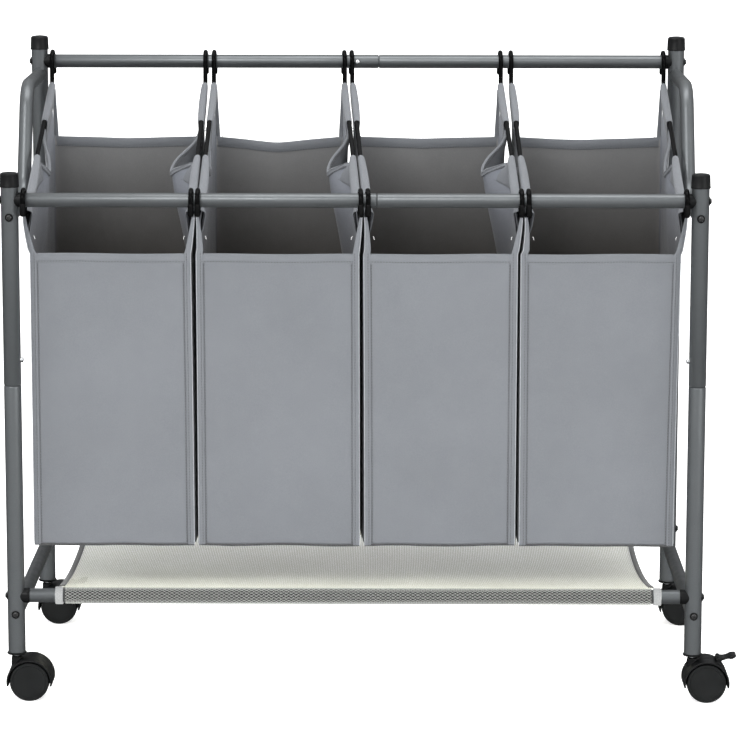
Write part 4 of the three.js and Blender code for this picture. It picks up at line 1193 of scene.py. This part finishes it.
class Bag:
    """One bag's shell as a grid of points, with the places that its trim is sewn to."""

    def __init__(self, number, facts):
        self.number = number
        self.name = f"bag_{number}"
        low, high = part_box(self.name)
        self.low_z = low.z + 0.4 * MM
        self.near = low.y - FRONT_Y
        self.far = high.y - FRONT_Y
        self.rods = [rod_ends(f"{self.name}_rod_{side}") for side in ("left", "right")]
        self.front = [MIDDLE_X + x * MM for x in facts["front"]]
        self.foot = [MIDDLE_X + x * MM for x in facts["foot"]]
        self.bulge = [b * MM for b in facts["bulge"]]
        self.swell = [s * MM for s in facts["swell"]]
        self.sag = facts["sag"] * MM
        self.points, self.faces, self.kinds = [], [], []
        self.sleeve_rows = {}

    # -- where things are

    def rod_x(self, side, depth):
        front, back = self.rods[side]
        return front + (back - front) * depth / DEPTH

    def edge_x(self, side, t):
        """X of the front panel's edge at a share of its height."""
        return self.foot[side] + (self.front[side] - self.foot[side]) * t**1.5

    def wall_x(self, side, depth, t=1.0):
        """X of a side panel's middle, well below its rod."""
        share = (depth - self.near) / (self.far - self.near)
        back = self.rod_x(side, self.far) + (1.5 * MM if side == 0 else -1.5 * MM)
        front = self.edge_x(side, t)
        return front + (back - front) * share

    def side_point(self, side, depth, z):
        """A point of a side panel: its wall low down, its rod at the top, its slack between."""
        into = 1 if side == 0 else -1
        drop = rod_height(depth) - z
        near_rod = smooth(ROD_FADE, 8 * MM, drop)
        t = clamp((z - self.low_z) / (FRONT_TOP - self.low_z))
        x = self.wall_x(side, depth, t) * (1 - near_rod) + self.rod_x(side, depth) * near_rod
        x += into * self.bulge[side] * self.slack(depth, drop)
        share = clamp((depth - self.near) / (self.far - self.near))
        up = clamp((z - self.low_z) / (rod_height(depth) - self.low_z))
        belly = math.sin(math.pi * share) * math.sin(math.pi * up)
        seed = Vector((self.number * 3.1 + side * 1.7, depth * 9, z * 6))
        x -= into * (0.6 * MM * belly) - into * 1.6 * MM * noise.noise(seed) * belly
        # Low down the sides swell outward until neighbouring bags nearly touch.
        x -= into * self.swell[side] * math.sin(math.pi * share) ** 0.35 * (1 - up) ** 0.5
        return Vector((x, FRONT_Y + depth, z))

    def slack(self, depth, drop):
        """Share of the bulge into the bag: most at the lip's lowest place, fading all round it."""
        peak = HANDLE_FRONT + LIP_PEAK * (HANDLE_BACK - HANDLE_FRONT)
        spread = smooth(10 * MM, 70 * MM, drop)
        near, gain = SLACK_AHEAD if depth < peak else SLACK_BEHIND
        round_peak = math.exp(-(((depth - peak) / (near + gain * spread)) ** 2))
        fade = math.exp(-((max(drop - LIP_LOWEST, 0) / SLACK_FADE) ** 1.4))
        return round_peak * fade * smooth(2 * MM, 20 * MM, drop)

    def lip_drop(self, share):
        """How far the cut-out's edge hangs below the rod: steep at the front, long at the back."""
        ends = CUT_DROP / FLAP_ROWS
        if share < LIP_PEAK:
            low = smooth(0, LIP_PEAK, share)
        else:
            low = max(1 - (share - LIP_PEAK) / (1 - LIP_PEAK), 0.0) ** 1.2
        return ends + (LIP_LOWEST - ends) * low

    def shoulder(self, depth):
        """Where the front and back panels' top line runs on along a side panel."""
        share = (depth - self.near) / (self.far - self.near)
        return FRONT_TOP + (BACK_TOP - FRONT_TOP) * share

    def wall_z(self, t, top, x, y):
        wave = noise.noise(Vector((x * 14 + self.number, y * 11, 0))) * 1.8 * MM
        return self.low_z + wave * (1 - t) + (top - self.low_z) * t

    def end_point(self, back, s, t):
        """A point of the front or back panel: s runs left to right, t upward."""
        depth = self.far if back else self.near
        if back:
            edges = [self.wall_x(0, depth), self.wall_x(1, depth)]
        else:
            edges = [self.edge_x(0, t), self.edge_x(1, t)]
        middle = math.sin(math.pi * s)
        top = BACK_TOP if back else FRONT_TOP
        if back:
            dip = 0.55 * middle + 0.45 * max(1 - abs(s - CREASE) / 0.5, 0)
            top -= self.sag * dip * (1.0 + 0.12 * math.cos(9 * s + self.number))
        else:
            top += 0.8 * MM * math.sin(5 * s + self.number) * middle
        x = edges[0] + (edges[1] - edges[0]) * s
        z = self.wall_z(t, top, x, depth)
        seed = Vector((x * 11, z * 7, self.number * 2.3 + back))
        fine = Vector((x * 34, z * 21, self.number * 4.1 + back))
        belly = middle * math.sin(math.pi * min(t * 0.97 + 0.03, 1)) ** 0.7
        swell = belly * (1.5 + 2.6 * noise.noise(seed) + 0.6 * noise.noise(fine)) * MM
        if back:
            # The crease left by folding the bag flat.
            crease = max(1 - abs(s - CREASE) / CREASE_REACH, 0) * smooth(0.1, 0.6, t)
            return Vector((x, FRONT_Y + depth + swell - CREASE_DEPTH * crease, z))
        return Vector((x, FRONT_Y + depth - swell, z))

    # -- the shell

    def add_point(self, point):
        self.points.append(point)
        return len(self.points) - 1

    def quads(self, rows, kind=2):
        for a, b in zip(rows, rows[1:]):
            for i in range(len(a) - 1):
                self.faces.append((a[i], a[i + 1], b[i + 1], b[i]))
                self.kinds.append(kind)

    def side_depths(self):
        stops = (self.near, HANDLE_FRONT, HANDLE_BACK, self.far)
        depths = [self.near]
        for start, stop, count in zip(stops, stops[1:], SIDE_COLUMNS):
            depths += [start + (stop - start) * (i + 1) / count for i in range(count)]
        return depths

    def build(self):
        # The second row is close to the first, which keeps the bottom edge crisp when it's rounded.
        shares = [0.0, BOTTOM_EDGE] + [i / ROWS for i in range(1, ROWS + 1)]
        across = [c / FRONT_COLUMNS for c in range(FRONT_COLUMNS + 1)]
        ends = {}
        for back in (0, 1):
            ends[back] = [
                [self.add_point(self.end_point(back, s, t)) for s in across] for t in shares
            ]
            self.quads(ends[back], 0)
        depths = self.side_depths()
        total = len(depths) - 1
        self.sides, self.lips = [], []
        for side in (0, 1):
            column = -side
            rows = []
            for r, t in enumerate(shares):
                row = [ends[0][r][column]]
                for c in range(1, total):
                    depth = depths[c]
                    z = self.wall_z(t, self.shoulder(depth), self.wall_x(side, depth), depth)
                    row.append(self.add_point(self.side_point(side, depth, z)))
                row.append(ends[1][r][column])
                rows.append(row)
            for r in range(1, RIM_ROWS + 1):
                row = []
                for depth in depths:
                    top = rod_height(depth) - CUT_DROP
                    z = self.shoulder(depth) + (top - self.shoulder(depth)) * r / RIM_ROWS
                    row.append(self.add_point(self.side_point(side, depth, z)))
                rows.append(row)
            self.quads(rows)
            self.sides.append(rows)
            self.add_sleeves(side, rows[-1])
            self.add_lip(side, rows[-1], depths)
        floor = []
        for c in range(total + 1):
            share = c / total
            row = [self.sides[0][0][c]]
            for i in range(1, FRONT_COLUMNS):
                if c in (0, total):
                    row.append(ends[c // total][0][i])
                    continue
                s = i / FRONT_COLUMNS
                a, b = self.points[self.sides[0][0][c]], self.points[self.sides[1][0][c]]
                point = a.lerp(b, s)
                dip = math.sin(math.pi * s) * math.sin(math.pi * share)
                point.z -= dip * (1.2 + 1.0 * noise.noise(point * 13)) * MM
                row.append(self.add_point(point))
            row.append(self.sides[1][0][c])
            floor.append(row)
        self.quads(floor, 0)
        self.ends = ends

    def sleeve_section(self):
        """(drop below the rod, offset towards the outside) from the panel over the rod and back."""
        section = []
        for i in range(1, FLAP_ROWS + 1):
            share = i / FLAP_ROWS
            section.append((CUT_DROP * (1 - share), SLEEVE_OUTER * share**0.65))
        for i in range(1, ARC_ROWS + 1):
            angle = math.pi * i / ARC_ROWS
            reach = SLEEVE_OUTER if angle < math.pi / 2 else SLEEVE_INNER
            section.append((-SLEEVE_OUTER * math.sin(angle), reach * math.cos(angle)))
        lay = 1.3 * MM
        for i in range(1, FLAP_ROWS + 1):
            share = i / FLAP_ROWS
            section.append((FLAP_DROP * share, -lay - (SLEEVE_INNER - lay) * (1 - share) ** 0.65))
        return section

    def sleeve_point(self, side, part, share, depth, drop, offset):
        """A point of a sleeve: part is 0 in front of the handle and 1 behind it."""
        height = rod_height(depth)
        point = self.side_point(side, depth, height - max(drop, 0))
        # Each sleeve is a loose hump on its inner side, and gapes at the front hooks.
        if offset < 0:
            offset *= 1 + HUMPS[part] * math.sin(math.pi * share) ** 0.8
            if part == 0:
                offset *= 1 + MOUTH_GAPE * max(1 - share / MOUTH, 0)
        point.x += offset if side else -offset
        point.z = height - drop
        return point

    def add_sleeves(self, side, base):
        """The cloth goes on up past the cut, over the rod and down the inside."""
        before, middle, behind = SIDE_COLUMNS
        parts = ((0, before), (before + middle, before + middle + behind))
        for part, (first, last) in enumerate(parts):
            rows = [base[first : last + 1]]
            start = self.near if part == 0 else HANDLE_BACK
            stop = HANDLE_FRONT if part == 0 else self.far
            for drop, offset in self.sleeve_section():
                row = []
                for c in range(last - first + 1):
                    share = c / (last - first)
                    depth = start + (stop - start) * share
                    point = self.sleeve_point(side, part, share, depth, drop, offset)
                    row.append(self.add_point(point))
                rows.append(row)
            self.quads(rows)
            self.sleeve_rows[(side, part)] = rows

    def add_lip(self, side, base, depths):
        """The slack cloth under the bare rod, sewn to both sleeves at its ends."""
        before, middle, _ = SIDE_COLUMNS
        rows = [base[before : before + middle + 1]]
        for r in range(1, FLAP_ROWS):
            row = [self.sleeve_rows[(side, 0)][r][-1]]
            for c in range(1, middle):
                depth = depths[before + c]
                lip = self.lip_drop((depth - HANDLE_FRONT) / (HANDLE_BACK - HANDLE_FRONT))
                drop = CUT_DROP + (lip - CUT_DROP) * r / (FLAP_ROWS - 1)
                row.append(self.add_point(self.side_point(side, depth, rod_height(depth) - drop)))
            row.append(self.sleeve_rows[(side, 1)][r][0])
            rows.append(row)
        self.quads(rows)
        self.lips.append(rows)

    # -- trim

    def line(self, indices):
        return [self.points[i] for i in indices]

    def add_pieces(self):
        shell = Build()
        shell.points, shell.faces, shell.kinds = self.points, self.faces, self.kinds
        # A face of kind 0 or 2 has the next cloth on its inner side.
        # The side panels' inner faces take the lit copy of the lining.
        cloths = [OUTSIDE, INSIDE, OUTSIDE, LIT_SIDE_LINING]
        piece = shell.piece(self.name, self.name, cloths, (self.name,), "bag_fabric", 60, merge=0)
        self.face_outward(piece.data)
        skin = piece.modifiers.new("thick", "SOLIDIFY")
        skin.thickness = CLOTH
        skin.offset = -1
        skin.material_offset = 1
        skin.material_offset_rim = 0
        round_off = piece.modifiers.new("round", "SUBSURF")
        round_off.levels = round_off.render_levels = 1
        apply_modifiers(piece, 60)
        hems = self.add_hems()
        threads = self.add_threads()

    def face_outward(self, mesh):
        """recalc_face_normals can't tell the outside of an open shell, so the front panel says."""
        limit, high = FRONT_Y + self.near + 3 * MM, 0.5
        front = [p for p in mesh.polygons if p.center.y < limit and p.center.z < high]
        if sum(p.normal.y for p in front) > 0:
            mesh.flip_normals()

    def add_hems(self):
        hems = Build()
        upward = [Z] * (FRONT_COLUMNS + 1)
        for back, away in enumerate(AWAY):
            wide = 15 * MM if back else 13 * MM
            shift = away * 0.1 * MM
            path = [p - Z * (wide / 2 - 0.7 * MM) + shift for p in self.line(self.ends[back][-1])]
            strip(hems, path, upward, [away] * len(path), wide, 2.4 * MM)
        for side in (0, 1):
            self.add_corner_flanges(hems, side)
            self.add_cut_hem(hems, side)
        # The strips along the panels' bottom edges are the real bottom seam, painted nearly black
        # as the shadow line under the bag.
        for back, away in enumerate(AWAY):
            shift = away * 0.3 * MM
            path = [p - Z * (0.4 * MM) - shift for p in self.line(self.ends[back][0])]
            strip(hems, path, upward, [away] * len(path), 2.6 * MM, 2.6 * MM, kind=2)
        cloths = [HEM, PIPING, BOTTOM_SEAM_SHADE]
        return hems.piece(f"{self.name}_hems", self.name, cloths, (), "bag_fabric", angle=50)

    def add_corner_flanges(self, hems, side):
        """Bound seams up the corners, which run on past the front panel to the rod."""
        out = OUTWARD[side]
        for back, away in enumerate(AWAY):
            column = [row[-side] for row in self.ends[back]]
            path = self.line(column)
            depth = self.far if back else self.near
            top = rod_height(depth) - (4 if back == 0 else 6) * MM
            start = path[-1].z
            for i in range(1, 9):
                z = start + (top - start) * i / 8
                path.append(self.side_point(side, depth, z))
            rise = len(path) - len(column)
            full = [1.0] * len(column) + [1 - i / rise for i in range(1, rise + 1)]
            inset = [3.4 * MM if back else (-1.6 + 5.6 * k) * MM for k in full]
            taper = [0.5 + 0.5 * k if back else 0.42 + 0.58 * k**0.8 for k in full]
            shifted = [p - out * i + away * 0.8 * MM for p, i in zip(path, inset)]
            width = 7 * MM if back else 8.6 * MM
            sides, faced = [out] * len(path), [away] * len(path)
            strip(hems, shifted, sides, faced, width, 2.2 * MM, taper=taper)
            edge = [p + out * (width * k / 2 - 0.5 * MM) for p, k in zip(shifted, taper)]
            strip(hems, edge, sides, faced, 1.3 * MM, 2.9 * MM, kind=1)

    def lip_frames(self, side):
        """Points of the cut-out's edge with the cloth's upward direction and normal at each."""
        edge, under = self.line(self.lips[side][-1]), self.line(self.lips[side][-2])
        frames = []
        for i, point in enumerate(edge):
            tangent = edge[min(i + 1, len(edge) - 1)] - edge[max(i - 1, 0)]
            up = (point - under[i]).normalized()
            normal = tangent.cross(up).normalized()
            up = normal.cross(tangent).normalized()
            frames.append((point, up, normal))
        return frames

    def add_cut_hem(self, hems, side):
        """The hem along the slack cloth's edge, a little inside it."""
        frames = self.lip_frames(side)
        path = [p - up * 2.9 * MM - OUTWARD[side] * LIP_SHIFT for p, up, _ in frames]
        strip(hems, path, [f[1] for f in frames], [f[2] for f in frames], 7.6 * MM, 3.4 * MM)

    def add_thread_end(self, threads, side):
        """A loose thread under the inner edge of a sleeve's front mouth."""
        way = 1 if side == 0 else -1
        start = self.points[self.sleeve_rows[(side, 0)][-1][0]] + Vector((way * 6.5, -1.2, 3)) * MM
        curl = ((0, 0, 0), (0.5, -0.7, -1), (1.2, -1.0, -1.7), (0.9, -1.0, -2.9), (1.5, -0.7, -4))
        path = [start + Vector((way * x, y, z)) * MM for x, y, z in curl]
        rings = [circle(p, u, v, 0.28 * MM, 6) for p, _, u, v in path_frames(path, Y)]
        threads.add(rings, kind=1)

    def add_threads(self):
        threads = Build()
        for back, away in enumerate(AWAY):
            ends = self.ends[back]
            top = self.line(ends[-1])
            below = (9.5 if back == 0 else 12) * MM
            for face in (away, -away):
                path = [p - Z * below + face * 1.3 * MM for p in top]
                stitches(threads, path, [face] * len(path), width=0.9 * MM)
            for side in (0, 1):
                out = OUTWARD[side]
                column = self.line([row[-side] for row in ends])
                path = [p - out * 9.6 * MM + away * 0.35 * MM for p in column]
                stitches(threads, path, [away] * len(path), width=1.0 * MM)
                path = [p - out * 5.4 * MM + away * 1.95 * MM for p in column]
                stitches(threads, path, [away] * len(path), width=0.9 * MM)
        for side in (0, 1):
            out = OUTWARD[side]
            for part in (0, 1):
                rows = self.sleeve_rows[(side, part)]
                inner = self.line(rows[-1])
                path = [p + Z * (2.2 * MM) - out * 0.55 * MM for p in inner]
                stitches(threads, path, [-out] * len(path))
                path = [p + out * (2.2 * MM) + Z * (2.2 * MM) for p in inner]
                stitches(threads, path, [out] * len(path))
            frames = self.lip_frames(side)
            shift = -out * LIP_SHIFT
            for way in (1, -1):
                proud = way * 1.75 * MM
                for below in (1.2 * MM, 5.2 * MM):
                    path = [p - up * below + n * proud + shift for p, up, n in frames]
                    stitches(threads, path, [n * way for _, _, n in frames], width=0.9 * MM)
            self.add_thread_end(threads, side)
        name, yarns = f"{self.name}_stitching", [STITCH, WHITE]
        return threads.piece(name, self.name, yarns, (), "bag_fabric", merge=0)


def add_bags():
    for number, facts in enumerate(BAGS, 1):
        bag = Bag(number, dict(zip(BAG_FACTS, facts)))
        bag.build()
        bag.add_pieces()
        tips = []
        for side, name in enumerate(("left", "right")):
            node = f"{bag.name}_rod_{name}"
            tips += add_rod(node, bag.name, bag.rods[side])
        add_rod_tips(f"{bag.name}_rod_tips", bag.name, tips)


# ---- Everything --------------------------------------------------------------------------------

add_camera()
add_studio()
add_posts()
add_top_rail("front", FRONT_Y, FRONT_RAIL_Z, Y)
add_top_rail("back", BACK_Y, BACK_RAIL_Z, -Y)
add_bottom_rails()
add_collars()
add_side_tubes()
add_bolts()
add_casters()
add_shelf()
add_bags()

bpy.context.view_layer.update()
